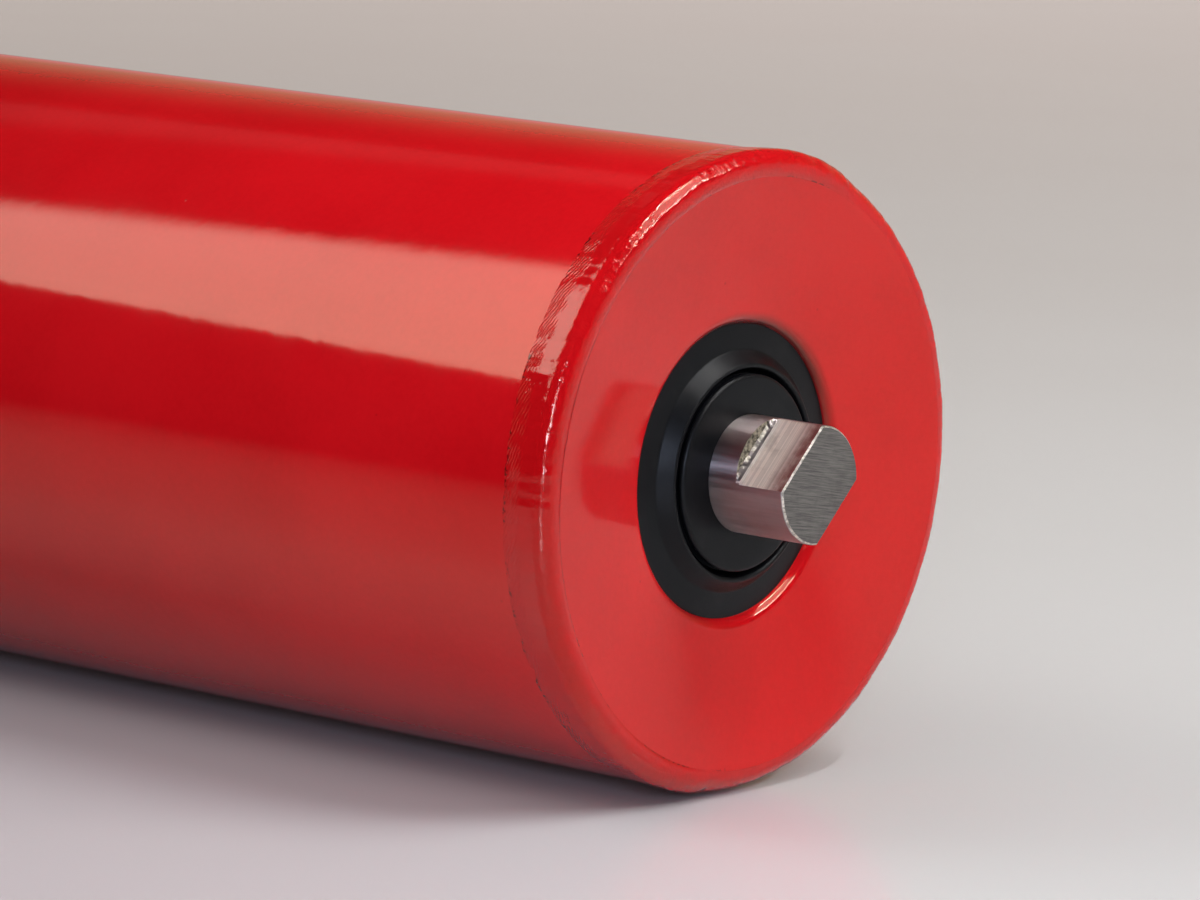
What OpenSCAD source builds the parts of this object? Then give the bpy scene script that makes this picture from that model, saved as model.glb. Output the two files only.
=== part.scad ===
// Steel conveyor roller: a welded shell that turns on two ball bearings round a fixed shaft.
//
// The shaft lies along X with its middle at the origin, and +Z is up. The shell is a tube with a
// pressed bearing housing welded into each end. Each housing carries, from its face inwards, a
// labyrinth seal, a circlip on the shaft, a ball bearing in a riveted ribbon cage, and a rear seal.
// Everything at one end is modelled with +Z running inwards from the housing's face, and is then
// placed at both ends of the roller by at_end().

/* [Roller] */
// Length of the shell over its two end faces
roller_len = 315; // [250:1:600]
// Outer diameter of the tube
tube_d = 108; // [89:0.1:159]
// Wall of the tube
tube_wall = 4; // [3:0.1:6]
// How far the machined seat for the housing is bored into the wall
seat_relief = 0.25; // [0.1:0.05:0.6]
// How far the tube's end stands back from the housing's face, which leaves the corner for the weld
tube_setback = 3; // [2:0.1:4]

/* [Shaft] */
// Diameter of the shaft
shaft_d = 20; // [15:0.1:25]
// How far the shaft stands out of each end face
shaft_out = 14; // [10:0.1:30]
// Width across the two spanner flats
flat_across = 14; // [11:0.1:17]
// Length of the spanner flats
flat_len = 10; // [6:0.1:14]
// Turn of the flats about the shaft from level
flat_turn = 45; // [0:1:90]
// Chamfer round the ends of the shaft
shaft_chamfer = 0.5; // [0.2:0.1:1.5]

/* [Housing] */
// Thickness of the pressed sheet
sheet = 3.5; // [2.5:0.1:4.5]
// Length of the outer rim that sits inside the tube
rim_len = 14; // [9:0.1:20]
// Radius of the edge between the face and the rim
rim_edge = 1; // [0.5:0.1:1.5]
// Slope of the dished face, from the rim down to the seal
dish_angle = 8.8; // [4:0.1:11]
// Radius of the drawn entry, between the dished face and the seal's seat
entry_radius = 2.6; // [2:0.1:4]
// How much the radius of the seal's seat is over that of the bearing's seat
seal_step = 1.2; // [0.8:0.05:3]
// Thickness of the shoulder behind the bearing
shoulder_t = 3; // [2:0.1:4]
// How far the shoulder reaches in from the bearing's seat
shoulder_w = 5; // [3:0.1:5.5]

/* [Weld bead] */
// How far the bead's crest stands above the tube
bead_rise = 0.5; // [0.2:0.05:1.5]
// Distance of the crest behind the housing's face
bead_crest = 2.4; // [2:0.1:2.9]
// How far the bead runs back along the tube, from the housing's face
bead_back = 8.7; // [6:0.1:12]
// How far the bead's front edge lies inside the housing's rim
bead_lap = 0.45; // [0.2:0.05:0.8]

/* [Bearing] */
// Outer diameter of the bearing
bearing_d = 47; // [45:0.1:60]
// Width of the bearing
bearing_w = 14; // [11:0.1:18]
// Diameter of the balls
ball_d = 7.938; // [6.5:0.001:8.5]
// Number of balls
ball_count = 8; // [6:1:8]
// Gap between a ball and its races
ball_gap = 0.05; // [0.02:0.01:0.1]
// Radius of the race grooves, for each millimetre of the ball's diameter
race_fit = 0.52; // [0.51:0.005:0.54]
// Depth of the race grooves
race_depth = 1.6; // [1.2:0.05:1.9]
// Radius round the edges of the bearing rings
ring_edge = 1; // [0.5:0.1:1.2]
// Depth of the empty shield seats at both faces of the outer ring
shield_seat = 1.2; // [0.8:0.1:1.6]

/* [Ball cage] */
// Thickness of the cage's strip
strip = 0.8; // [0.5:0.05:1]
// Width of the cage's strip
strip_w = 3.5; // [2.5:0.1:3.8]
// Gap between a ball and its pocket
pocket_gap = 0.15; // [0.1:0.05:0.25]
// Diameter of the rivets
rivet_d = 1.5; // [1:0.1:1.6]
// Diameter of the rivet heads
rivet_head_d = 2.4; // [1.8:0.1:2.6]

/* [Circlip] */
// Thickness of the circlip
clip_t = 1.2; // [1:0.1:1.75]
// Depth of its groove in the shaft
clip_groove = 0.5; // [0.3:0.05:0.8]
// Width of the circlip opposite its gap
clip_wide = 2.6; // [2.2:0.1:3]
// Width of the circlip beside its lugs
clip_narrow = 1.5; // [1.2:0.1:2]
// Radius of the lugs
lug_r = 2; // [1.8:0.1:2.3]
// Diameter of the plier holes in the lugs
lug_hole_d = 2; // [1.6:0.1:2.2]
// Turn of each lug from the middle of the gap
lug_turn = 13; // [12:0.5:18]

/* [Seals] */
// Depth of the labyrinth, from the seal's outer edge to the circlip
maze_depth = 6.9; // [6:0.1:12]
// Gap of the labyrinth, between fixed and turning rings
maze_gap = 0.7; // [0.4:0.05:0.8]
// How far the seal's outer edge stands forward of the end of the drawn entry
seal_lift = 1.13; // [0.6:0.01:1.5]
// Width of the flat band between the seal's seat and the foot of the cone
seal_band = 4.2; // [3.5:0.05:5]
// How far the flat band rises towards the cone
seal_dish = 0.4; // [0:0.1:0.8]
// Width of the cone, from its foot to its lip
cone_w = 2.9; // [2:0.1:3.5]
// Height of the cone's lip over the seal's outer edge
lip_rise = 2.8; // [1.5:0.1:3.5]
// Gap in view between the cone's lip and the fixed disc
lip_gap = 0.9; // [0.7:0.1:1.5]
// Height of the fixed disc over the cone's lip
disc_proud = 0.5; // [0:0.1:1]
// Thickness of the fixed disc
disc_t = 1.4; // [1:0.1:2]
// Wall of the seals' thin parts
seal_wall = 1.1; // [0.8:0.1:1.3]
// Wall of the seal's outer sleeve, its web and the fixed hub
sleeve_wall = 1.6; // [1.2:0.1:2]
// Running gap between the rear seal and the shaft
rear_gap = 0.3; // [0.2:0.05:0.6]
// Thickness of the rear seal's flange
rear_t = 1.2; // [0.8:0.1:2]
// How far the rear seal's flange laps over the housing's shoulder
rear_lap = 2.5; // [1.5:0.1:3.5]

/* [Hidden] */
$fn = 64;
left = 180;
right = 0;
// How far a cutter runs past the face that it opens
past = 1;

enamel = [0.74, 0.07, 0.07];
bright_steel = [0.72, 0.72, 0.73];
bearing_steel = [0.62, 0.63, 0.66];
spring_steel = [0.28, 0.28, 0.30];
black_plastic = [0.12, 0.12, 0.12];

// Tube and shaft
tube_r = tube_d / 2;
bore_r = tube_r - tube_wall;
rim_r = bore_r + seat_relief;
shaft_r = shaft_d / 2;
shaft_len = roller_len + 2 * shaft_out;
groove_r = shaft_r - clip_groove;

// Housing, in depths behind the outer edge of its face
bearing_r = bearing_d / 2;
seal_r = bearing_r + seal_step;
shoulder_r = bearing_r - shoulder_w;
dish_r = rim_r - rim_edge;
plate = sheet / cos(dish_angle);
entry_end = dish_at(seal_r + entry_radius) + entry_radius / cos(dish_angle);
seal_at = entry_end - seal_lift;
clip_at = seal_at + maze_depth;
bearing_at = clip_at + clip_t;
bearing_mid = bearing_at + bearing_w / 2;
bearing_end = bearing_at + bearing_w;
housing_end = bearing_end + shoulder_t;

// Bearing, about its own middle
pitch_r = (shaft_r + bearing_r) / 2;
ball_r = ball_d / 2;
groove_radius = race_fit * ball_d;
race_reach = ball_r + ball_gap;
inner_land_r = pitch_r - race_reach + race_depth;
outer_land_r = pitch_r + race_reach - race_depth;
shield_r = outer_land_r + (bearing_r - outer_land_r) / 3;
pocket_r = ball_r + pocket_gap;
ball_step = 360 / ball_count;

// Labyrinth: a tongue of each ring in the room between the cone's wall and the outer sleeve
cone_r = seal_r - seal_band;
lip_r = cone_r - cone_w;
disc_r = lip_r - lip_gap;
lip_at = seal_at - lip_rise;
disc_at = lip_at - disc_proud;
cone_wall_r = lip_r + seal_wall;
sleeve_r = seal_r - sleeve_wall;
tongue = (sleeve_r - cone_wall_r - 3 * maze_gap) / 2;
fixed_tongue_r = cone_wall_r + maze_gap;
turning_tongue_r = fixed_tongue_r + tongue + maze_gap;
web_end = seal_at + sleeve_wall;
core_web_end = clip_at - maze_gap / 2;
core_web = core_web_end - seal_wall;
cover_end = core_web - maze_gap;

// Depth of the dished face at one radius
function dish_at(r) = (dish_r - r) * tan(dish_angle);

// Turns a part of one end, drawn with +Z inwards from the face, to its place on the roller
module at_end(side) {
    rotate([0, 0, side])
    translate([roller_len / 2, 0, 0])
    rotate([0, -90, 0])
    children();
}

// Turns a section drawn as [radius, depth] about the shaft's line
module revolve() {
    rotate_extrude($fn = 96)
    children();
}

// A rectangle of a section, between two radii and two depths
module band(r_in, r_out, from, to) {
    translate([r_in, from])
    square([r_out - r_in, to - from]);
}

// The corner that a round edge takes off; sign_r and sign_z point from the corner into the metal
module edge_cut(r, z, radius, sign_r, sign_z) {
    translate([r, z])
    scale_sign(sign_r, sign_z)
    difference() {
        translate([-past, -past])
        square(radius + past);
        translate([radius, radius])
        circle(r = radius);
    }
}

// What fills the corner between a wall and a sloping surface of the dish, up to an arc that touches
// both, and reaches past both into the metal. lift is how far the surface lies behind the face, and
// side is on which side of the wall the arc's middle is.
module dish_corner(wall, side, lift, radius) {
    r = wall + side * radius;
    z = dish_at(r) + lift + radius / cos(dish_angle);
    on_wall = [wall, z];
    on_dish = [r - radius * sin(dish_angle), z - radius * cos(dish_angle)];
    corner = [wall - side * past, dish_at(wall) + lift - past];
    difference() {
        polygon(side > 0 ? [corner, on_dish, [r, z], on_wall] : [corner, on_wall, [r, z], on_dish]);
        translate([r, z])
        circle(r = radius);
    }
}

// What the drawn entry takes off between the dished face and the seal's seat
module entry_cut() {
    r = seal_r + entry_radius;
    on_dish = r - entry_radius * sin(dish_angle);
    difference() {
        polygon([
            [seal_r - past, dish_at(seal_r) - 2 * past],
            [on_dish, dish_at(on_dish) - past],
            [on_dish, dish_at(on_dish)],
            [r, entry_end],
            [seal_r - past, entry_end],
        ]);
        translate([r, entry_end])
        circle(r = entry_radius);
    }
}

// Mirrors a section where a sign is negative
module scale_sign(sign_r, sign_z) {
    mirror([sign_r < 0 ? 1 : 0, 0])
    mirror([0, sign_z < 0 ? 1 : 0])
    children();
}

// ---------------------------------------------------------------- shaft and shell

// What is milled off the bar for the spanner flats, which lie the same way at both ends
module spanner_flats() {
    rotate([flat_turn, 0, 0])
    for (end = [-1, 1], face = [-1, 1])
        translate([end * (shaft_len - flat_len + past) / 2, 0, face * (flat_across + shaft_d) / 2])
        cube([flat_len + past, 2 * shaft_d, shaft_d], center = true);
}

module shaft() {
    color(bright_steel)
    difference() {
        rotate([0, 90, 0])
        revolve()
        difference() {
            band(0, shaft_r, -shaft_len / 2, shaft_len / 2);
            for (end = [-1, 1]) {
                shaft_chamfer_cut(end);
                clip_groove_cut(end);
            }
        }
        spanner_flats();
    }
}

// Section taken off one end of the bar by its chamfer
module shaft_chamfer_cut(end) {
    tip = end * shaft_len / 2;
    polygon([
        [shaft_r - shaft_chamfer - past, tip + end * past],
        [shaft_r + past, tip + end * past],
        [shaft_r + past, tip - end * (shaft_chamfer + past)],
    ]);
}

// Section of one circlip groove in the bar
module clip_groove_cut(end) {
    outer = end * (roller_len / 2 - clip_at);
    inner = end * (roller_len / 2 - bearing_at);
    band(groove_r, shaft_r + past, min(outer, inner), max(outer, inner));
}

module tube() {
    end = roller_len / 2 - tube_setback;
    seat = roller_len / 2 - rim_len;
    color(enamel)
    rotate([0, 90, 0])
    revolve()
    difference() {
        band(bore_r, tube_r, -end, end);
        band(bore_r - past, rim_r, seat, end + past);
        band(bore_r - past, rim_r, -end - past, -seat);
    }
}

// Section of the pressed housing: dished face, rim in the tube, seal seat, bearing seat and shoulder
module housing_section() {
    inner_rim_r = rim_r - sheet;
    difference() {
        union() {
            polygon([
                [seal_r, dish_at(seal_r)],
                [dish_r, 0],
                [rim_r, 0],
                [rim_r, dish_at(inner_rim_r) + plate],
                [inner_rim_r, dish_at(inner_rim_r) + plate],
                [seal_r, dish_at(seal_r) + plate],
            ]);
            band(inner_rim_r, rim_r, sheet / 2, rim_len);
            band(seal_r, seal_r + sheet, dish_at(seal_r), clip_at + sheet);
            band(bearing_r, bearing_r + sheet, clip_at, housing_end);
            band(shoulder_r, bearing_r + sheet, bearing_end, housing_end);
            dish_corner(inner_rim_r, -1, plate, sheet / 2);
            dish_corner(seal_r + sheet, 1, plate, sheet / 2);
        }
        edge_cut(rim_r, 0, rim_edge, -1, 1);
        edge_cut(inner_rim_r, rim_len, sheet / 3, 1, -1);
        entry_cut();
        edge_cut(bearing_r + sheet, housing_end, shoulder_t, -1, -1);
        edge_cut(shoulder_r, housing_end, shoulder_t / 4, 1, -1);
    }
}

module housing(side) {
    color(enamel)
    at_end(side)
    revolve()
    housing_section();
}

// Section of the fillet weld that fills the corner between the tube's end and the housing's rim
module bead_section() {
    crest_r = tube_r + bead_rise;
    toe_r = rim_r - bead_lap;
    drop = crest_r - toe_r;
    nose = (bead_crest * bead_crest + drop * drop) / (2 * drop);
    run = bead_back - bead_crest;
    sweep = (run * run + bead_rise * bead_rise) / (2 * bead_rise);
    difference() {
        union() {
            translate([crest_r - nose, bead_crest])
            circle(r = nose, $fn = 48);
            intersection() {
                translate([crest_r - sweep, bead_crest])
                circle(r = sweep, $fn = 180);
                band(rim_r, crest_r + past, bead_crest, bead_back + past);
            }
        }
        band(bore_r - past, tube_r, tube_setback, bead_back + 2 * past);
        housing_section();
    }
}

module weld_bead(side) {
    color(enamel)
    at_end(side)
    revolve()
    bead_section();
}

// ---------------------------------------------------------------- ball bearing

module outer_ring(side) {
    color(bearing_steel)
    at_end(side)
    revolve()
    difference() {
        band(outer_land_r, bearing_r, bearing_at, bearing_end);
        translate([pitch_r + race_reach - groove_radius, bearing_mid])
        circle(r = groove_radius);
        band(outer_land_r - past, shield_r, bearing_at - past, bearing_at + shield_seat);
        band(outer_land_r - past, shield_r, bearing_end - shield_seat, bearing_end + past);
        edge_cut(bearing_r, bearing_at, ring_edge, -1, 1);
        edge_cut(bearing_r, bearing_end, ring_edge, -1, -1);
    }
}

module inner_ring(side) {
    color(bearing_steel)
    at_end(side)
    revolve()
    difference() {
        band(shaft_r, inner_land_r, bearing_at, bearing_end);
        translate([pitch_r - race_reach + groove_radius, bearing_mid])
        circle(r = groove_radius);
        edge_cut(shaft_r, bearing_at, ring_edge, 1, 1);
        edge_cut(shaft_r, bearing_end, ring_edge, 1, -1);
    }
}

// One child in each of the bearing's places, on the pitch circle; half a step in turns to the lands
module round_the_pitch(offset_turn = 0) {
    for (i = [0 : ball_count - 1])
        rotate([0, 0, i * ball_step + offset_turn])
        translate([pitch_r, 0, 0])
        children();
}

module balls(side) {
    color(bright_steel)
    at_end(side)
    translate([0, 0, bearing_mid])
    round_the_pitch()
    sphere(r = ball_r);
}

// Half of the ribbon cage, drawn on the side of +Z: half-round pockets and flat lands between them
module cage_half() {
    difference() {
        intersection() {
            union() {
                cylinder(r = pitch_r + strip_w, h = strip);
                round_the_pitch()
                sphere(r = pocket_r + strip);
            }
            difference() {
                cylinder(r = pitch_r + strip_w / 2, h = pocket_r + 2 * strip);
                translate([0, 0, -past])
                cylinder(r = pitch_r - strip_w / 2, h = pocket_r + 2 * strip + 2 * past);
            }
        }
        round_the_pitch()
        sphere(r = pocket_r);
        round_the_pitch(ball_step / 2)
        translate([0, 0, -past])
        cylinder(d = rivet_d, h = strip + 2 * past);
    }
}

// The half of the cage towards the housing's face
module cage_front(side) {
    color(bearing_steel)
    at_end(side)
    translate([0, 0, bearing_mid])
    rotate([180, 0, 0])
    cage_half();
}

module cage_back(side) {
    color(bearing_steel)
    at_end(side)
    translate([0, 0, bearing_mid])
    cage_half();
}

// Section of a rivet through both strips, with a domed head on each side
module rivet_section() {
    head = rivet_head_d / 2;
    dome_h = head / 2;
    dome = (head * head + dome_h * dome_h) / (2 * dome_h);
    band(0, rivet_d / 2, -strip, strip);
    for (end = [-1, 1])
        intersection() {
            translate([0, end * (strip + dome_h - dome)])
            circle(r = dome, $fn = 48);
            band(0, head, end < 0 ? -strip - dome_h : strip, end < 0 ? -strip : strip + dome_h);
        }
}

module rivets(side) {
    color(bright_steel)
    at_end(side)
    translate([0, 0, bearing_mid])
    round_the_pitch(ball_step / 2)
    rotate_extrude($fn = 24)
    rivet_section();
}

// ---------------------------------------------------------------- circlip and seals

// Outline of the circlip: a ring that narrows towards its gap, and a drilled lug each side of it
module clip_outline() {
    clip_r = groove_r + (clip_wide + clip_narrow) / 2;
    shift = (clip_wide - clip_narrow) / 2;
    difference() {
        union() {
            translate([-shift, 0])
            circle(r = clip_r, $fn = 96);
            for (turn = [-lug_turn, lug_turn])
                rotate(turn)
                translate([groove_r + lug_r, 0])
                circle(r = lug_r);
        }
        circle(r = groove_r, $fn = 96);
        translate([0, -lug_hole_d / 2])
        square([shaft_d, lug_hole_d]);
        for (turn = [-lug_turn, lug_turn])
            rotate(turn)
            translate([groove_r + lug_r, 0])
            circle(d = lug_hole_d);
    }
}

module circlip(side) {
    color(spring_steel)
    at_end(side)
    translate([0, 0, clip_at])
    linear_extrude(clip_t)
    clip_outline();
}

// The turning ring that shows: a band whose edge lies in the housing's entry, and a raised cone, with
// a sleeve and a tongue behind
module seal_cover(side) {
    lip = seal_wall / 2;
    lip_c = [lip_r + lip, lip_at + lip];
    foot = [cone_r, seal_at - seal_dish];
    to_foot = atan2(foot[1] - lip_c[1], foot[0] - lip_c[0]);
    touch = to_foot - acos(lip / norm(foot - lip_c));
    color(black_plastic)
    at_end(side)
    revolve()
    difference() {
        union() {
            polygon([
                [seal_r, seal_at],
                [seal_r, web_end],
                [lip_c[0], web_end],
                lip_c,
                lip_c + lip * [cos(touch), sin(touch)],
                foot,
            ]);
            translate(lip_c)
            circle(r = lip, $fn = 32);
            band(lip_r, cone_wall_r, lip_c[1], cover_end);
            band(turning_tongue_r, turning_tongue_r + tongue, seal_at, cover_end);
            band(sleeve_r, seal_r, seal_at, core_web_end);
            intersection() {
                dish_corner(seal_r, 1, 0, entry_radius);
                band(seal_r, seal_r + entry_radius, seal_at, seal_at + seal_lift / 2);
            }
        }
        edge_cut(seal_r, core_web_end, seal_wall / 2, -1, -1);
    }
}

// The fixed ring on the shaft: a disc with a round rim, a hub up to the circlip, and two tongues
module seal_core(side) {
    rim = disc_t / 2;
    hub_r = shaft_r + sleeve_wall;
    inner_tongue_r = min(disc_r, lip_r - maze_gap);
    color(black_plastic)
    at_end(side)
    revolve()
    difference() {
        union() {
            band(shaft_r, disc_r - rim, disc_at, disc_at + disc_t);
            translate([disc_r - rim, disc_at + rim])
            circle(r = rim, $fn = 32);
            band(shaft_r, hub_r, disc_at, clip_at);
            band(shaft_r, sleeve_r - maze_gap, core_web, core_web_end);
            band(inner_tongue_r - seal_wall, inner_tongue_r, disc_at + disc_t + maze_gap, core_web);
            band(fixed_tongue_r, fixed_tongue_r + tongue, web_end + maze_gap, core_web);
        }
        polygon([
            [shaft_r - past, disc_at - past],
            [shaft_r + seal_wall / 2 + past, disc_at - past],
            [shaft_r - past, disc_at + seal_wall / 2 + past],
        ]);
    }
}

// The ring behind the bearing: a collar in the shoulder's hole, a flange over it and a lip to the shaft
module rear_seal(side) {
    rear_r = shaft_r + rear_gap;
    flange_end = housing_end + rear_t;
    color(black_plastic)
    at_end(side)
    revolve()
    difference() {
        union() {
            band(shoulder_r - seal_wall, shoulder_r, bearing_end + maze_gap, flange_end);
            band(rear_r, shoulder_r + rear_lap, housing_end, flange_end);
            band(rear_r, rear_r + seal_wall, bearing_end + maze_gap, flange_end);
        }
        edge_cut(shoulder_r + rear_lap, flange_end, rear_t / 2, -1, -1);
    }
}

// ---------------------------------------------------------------- nodes

shaft();
tube();
housing(left);  // left_housing
housing(right);  // right_housing
weld_bead(left);  // left_weld_bead
weld_bead(right);  // right_weld_bead
outer_ring(left);  // left_outer_ring
outer_ring(right);  // right_outer_ring
inner_ring(left);  // left_inner_ring
inner_ring(right);  // right_inner_ring
balls(left);  // left_balls
balls(right);  // right_balls
cage_front(left);  // left_cage_front
cage_front(right);  // right_cage_front
cage_back(left);  // left_cage_back
cage_back(right);  // right_cage_back
rivets(left);  // left_rivets
rivets(right);  // right_rivets
circlip(left);  // left_circlip
circlip(right);  // right_circlip
seal_cover(left);  // left_seal_cover
seal_cover(right);  // right_seal_cover
seal_core(left);  // left_seal_core
seal_core(right);  // right_seal_core
rear_seal(left);  // left_rear_seal
rear_seal(right);  // right_rear_seal
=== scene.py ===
"""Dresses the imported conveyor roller: its enamelled shell, weld beads, seals, bearings and shaft."""
import logging
import math
from dataclasses import dataclass
from enum import Enum
from typing import Any, Callable, Iterable, Sequence

import bmesh
import bpy
from mathutils import Matrix, Vector, noise


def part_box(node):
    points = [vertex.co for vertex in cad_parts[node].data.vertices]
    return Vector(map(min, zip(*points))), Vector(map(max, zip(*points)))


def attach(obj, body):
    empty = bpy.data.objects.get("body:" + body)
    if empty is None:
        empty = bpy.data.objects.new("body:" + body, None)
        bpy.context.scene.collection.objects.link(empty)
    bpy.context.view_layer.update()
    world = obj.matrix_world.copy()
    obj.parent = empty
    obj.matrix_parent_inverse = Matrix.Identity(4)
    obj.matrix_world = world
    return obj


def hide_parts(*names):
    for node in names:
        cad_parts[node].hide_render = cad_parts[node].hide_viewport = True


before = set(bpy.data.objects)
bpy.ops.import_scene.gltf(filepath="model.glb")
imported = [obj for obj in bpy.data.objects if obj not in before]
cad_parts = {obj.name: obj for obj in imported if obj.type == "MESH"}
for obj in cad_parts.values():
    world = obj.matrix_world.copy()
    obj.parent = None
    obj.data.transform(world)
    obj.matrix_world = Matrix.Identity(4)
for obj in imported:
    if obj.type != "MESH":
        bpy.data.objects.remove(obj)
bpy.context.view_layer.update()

MM = 0.001
LOG = logging.getLogger("roller")

Point = tuple[float, float]
Colour = tuple[float, float, float]

SOCKET_TYPES = {int: "NodeSocketInt", float: "NodeSocketFloat", tuple: "NodeSocketVector",
                type(None): "NodeSocketMaterial"}
LAY = "Lay"
"""Name of the attribute that keeps a point's place on the weld bead."""
TOE_END, NOSE_END, RUN_END = 0.1, 0.5, 0.95
"""Shares of the way across the weld bead at which its front toe, its nose and its run along the tube end."""
SEAL_R, CLIP_AT, DISH = 24.7, 11.8, 8.8
"""The seal's radius in its housing, the circlip's depth, both in millimetres, and the dish of the face in degrees."""


class End(Enum):
    """One end of the roller, with the way that its face looks along X."""

    LEFT = -1
    RIGHT = 1

    @property
    def title(self) -> str:
        """The word that starts the names of this end's parts."""
        return self.name.lower()


class Grain(Enum):
    """The line that the marks on a steel surface follow."""

    DRAWN = "along the shaft's line"
    MILLED = "slanting over the flats"
    SAWN = "straight over the end"
    NONE = "no direction"


class BarFace(Enum):
    """A kind of surface on the shaft, with the number of its material."""

    DRAWN = 0
    MILLED = 1
    SAWN = 2
    BURR = 3
    WALL = 4


# ---------------------------------------------------------------- nodes


def summed(operation: str, swapped: bool = False) -> Callable[["Num", Any], "Num"]:
    """Makes the method behind one of Python's arithmetic signs.

    Args:
        operation: The Math node's operation.
        swapped: Whether the other value comes first.

    Returns:
        The method, which adds the node.
    """
    def method(self: "Num", other: Any) -> "Num":
        """Adds the Math node and gives its result."""
        return self.bench.math(operation, *((other, self) if swapped else (self, other)))
    return method


class Num:
    """A number inside a node tree, which can stand in a sum with others and with plain numbers."""

    def __init__(self, bench: "Bench", socket: bpy.types.NodeSocket) -> None:
        """Keeps the bench that adds the nodes and the socket that gives the number."""
        self.bench, self.socket = bench, socket

    def __neg__(self) -> "Num":
        """Gives the number with its sign turned."""
        return self * -1.0

    __add__ = summed("ADD")
    __sub__ = summed("SUBTRACT")
    __rsub__ = summed("SUBTRACT", swapped=True)
    __mul__ = summed("MULTIPLY")
    __truediv__ = summed("DIVIDE")
    __rtruediv__ = summed("DIVIDE", swapped=True)


class Bench:
    """A node tree being filled: adds nodes, sets their inputs and links them.

    A value given to its methods is a plain value, a socket or a Num.
    """

    def __init__(self, tree: bpy.types.NodeTree) -> None:
        """Keeps the tree to fill."""
        self.tree = tree

    @classmethod
    def emptied(cls, owner: Any) -> "Bench":
        """Starts a node tree afresh.

        Args:
            owner: The material, lamp or world that it belongs to.

        Returns:
            The empty tree, ready to fill.
        """
        owner.use_nodes = True
        owner.node_tree.nodes.clear()
        return cls(owner.node_tree)

    def add(self, kind: str, inputs: dict[Any, Any] | None = None, **settings: Any) -> bpy.types.Node:
        """Adds one node.

        Args:
            kind: The node's type name.
            inputs: Values for its inputs, by name or number.
            settings: Values for the node's own properties.

        Returns:
            The new node.
        """
        made = self.tree.nodes.new(kind)
        for name, value in settings.items():
            setattr(made, name, value)
        for key, value in (inputs or {}).items():
            self.feed(made.inputs[key], value)
        return made

    def feed(self, socket: bpy.types.NodeSocket, value: Any) -> None:
        """Links a socket to another, or sets its value.

        Args:
            socket: The input.
            value: What it gets.
        """
        value = value.socket if isinstance(value, Num) else value
        if isinstance(value, bpy.types.NodeSocket):
            self.tree.links.new(value, socket)
        else:
            socket.default_value = value

    def num(self, socket: bpy.types.NodeSocket) -> Num:
        """Makes a socket ready to stand in a sum."""
        return Num(self, socket)

    def outputs(self, kind: str) -> dict[str, Num]:
        """Adds a node without inputs and gives its outputs by name."""
        return {socket.name: self.num(socket) for socket in self.add(kind).outputs}

    def lay(self) -> list[Num]:
        """Gives a point's turn round the weld bead and its share of the way across, as kept on the bead's mesh."""
        kept = self.add("ShaderNodeAttribute", attribute_name=LAY, attribute_type="GEOMETRY")
        return self.separate(kept.outputs["Vector"])[:2]

    def math(self, operation: str, a: Any, b: Any = 0.0) -> Num:
        """Adds a Math node.

        Args:
            operation: The node's operation.
            a: First value.
            b: Second value.

        Returns:
            The result.
        """
        return self.num(self.add("ShaderNodeMath", {0: a, 1: b}, operation=operation).outputs[0])

    def vector(self, operation: str, a: Any, b: Any = (0.0, 0.0, 0.0)) -> Any:
        """Adds a Vector Math node.

        Args:
            operation: The node's operation.
            a: First vector.
            b: Second vector.

        Returns:
            The vector, or the number for a length or a dot product.
        """
        made = self.add("ShaderNodeVectorMath", {0: a, 1: b}, operation=operation)
        if operation in ("LENGTH", "DOT_PRODUCT"):
            return self.num(made.outputs["Value"])
        return made.outputs["Vector"]

    def scaled(self, a: Any, factor: Any) -> bpy.types.NodeSocket:
        """Gives a vector times a number."""
        return self.add("ShaderNodeVectorMath", {0: a, "Scale": factor}, operation="SCALE").outputs["Vector"]

    def combine(self, x: Any = 0.0, y: Any = 0.0, z: Any = 0.0) -> bpy.types.NodeSocket:
        """Gives a vector made of three numbers."""
        return self.add("ShaderNodeCombineXYZ", {0: x, 1: y, 2: z}).outputs[0]

    def grey(self, value: Any) -> bpy.types.NodeSocket:
        """Gives the grey colour of a value."""
        return self.combine(value, value, value)

    def separate(self, a: Any) -> list[Num]:
        """Gives the three numbers of a vector."""
        return [self.num(part) for part in self.add("ShaderNodeSeparateXYZ", {0: a}).outputs]

    def remap(self, value: Any, low: Any, high: Any, to_low: Any = 0.0, to_high: Any = 1.0,
              way: str = "SMOOTHSTEP") -> Num:
        """Spreads a range of a value over another range, and holds it there.

        Args:
            value: The value.
            low: Where the range starts.
            high: Where it ends.
            to_low: What the start becomes.
            to_high: What the end becomes.
            way: The Map Range node's interpolation.

        Returns:
            The result.
        """
        made = self.add("ShaderNodeMapRange", {0: value, 1: low, 2: high, 3: to_low, 4: to_high},
                        interpolation_type=way)
        return self.num(made.outputs[0])

    def share(self, value: Any, low: float, high: float, to_low: Any = 0.0, to_high: Any = 1.0) -> Num:
        """Spreads a range of a value evenly over another range, and holds it there."""
        return self.remap(value, low, high, to_low, to_high, "LINEAR")

    def noise(self, at: Any, scale: float, detail: float = 2.0, rough: float = 0.5) -> Num:
        """Gives smooth noise between about 0 and 1.

        Args:
            at: The place.
            scale: Swells in one unit of length.
            detail: Number of finer layers.
            rough: Strength of each finer layer beside the one before.

        Returns:
            The noise.
        """
        made = self.add("ShaderNodeTexNoise", {"Vector": at, "Scale": scale, "Detail": detail, "Roughness": rough})
        return self.num(made.outputs[0])

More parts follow.
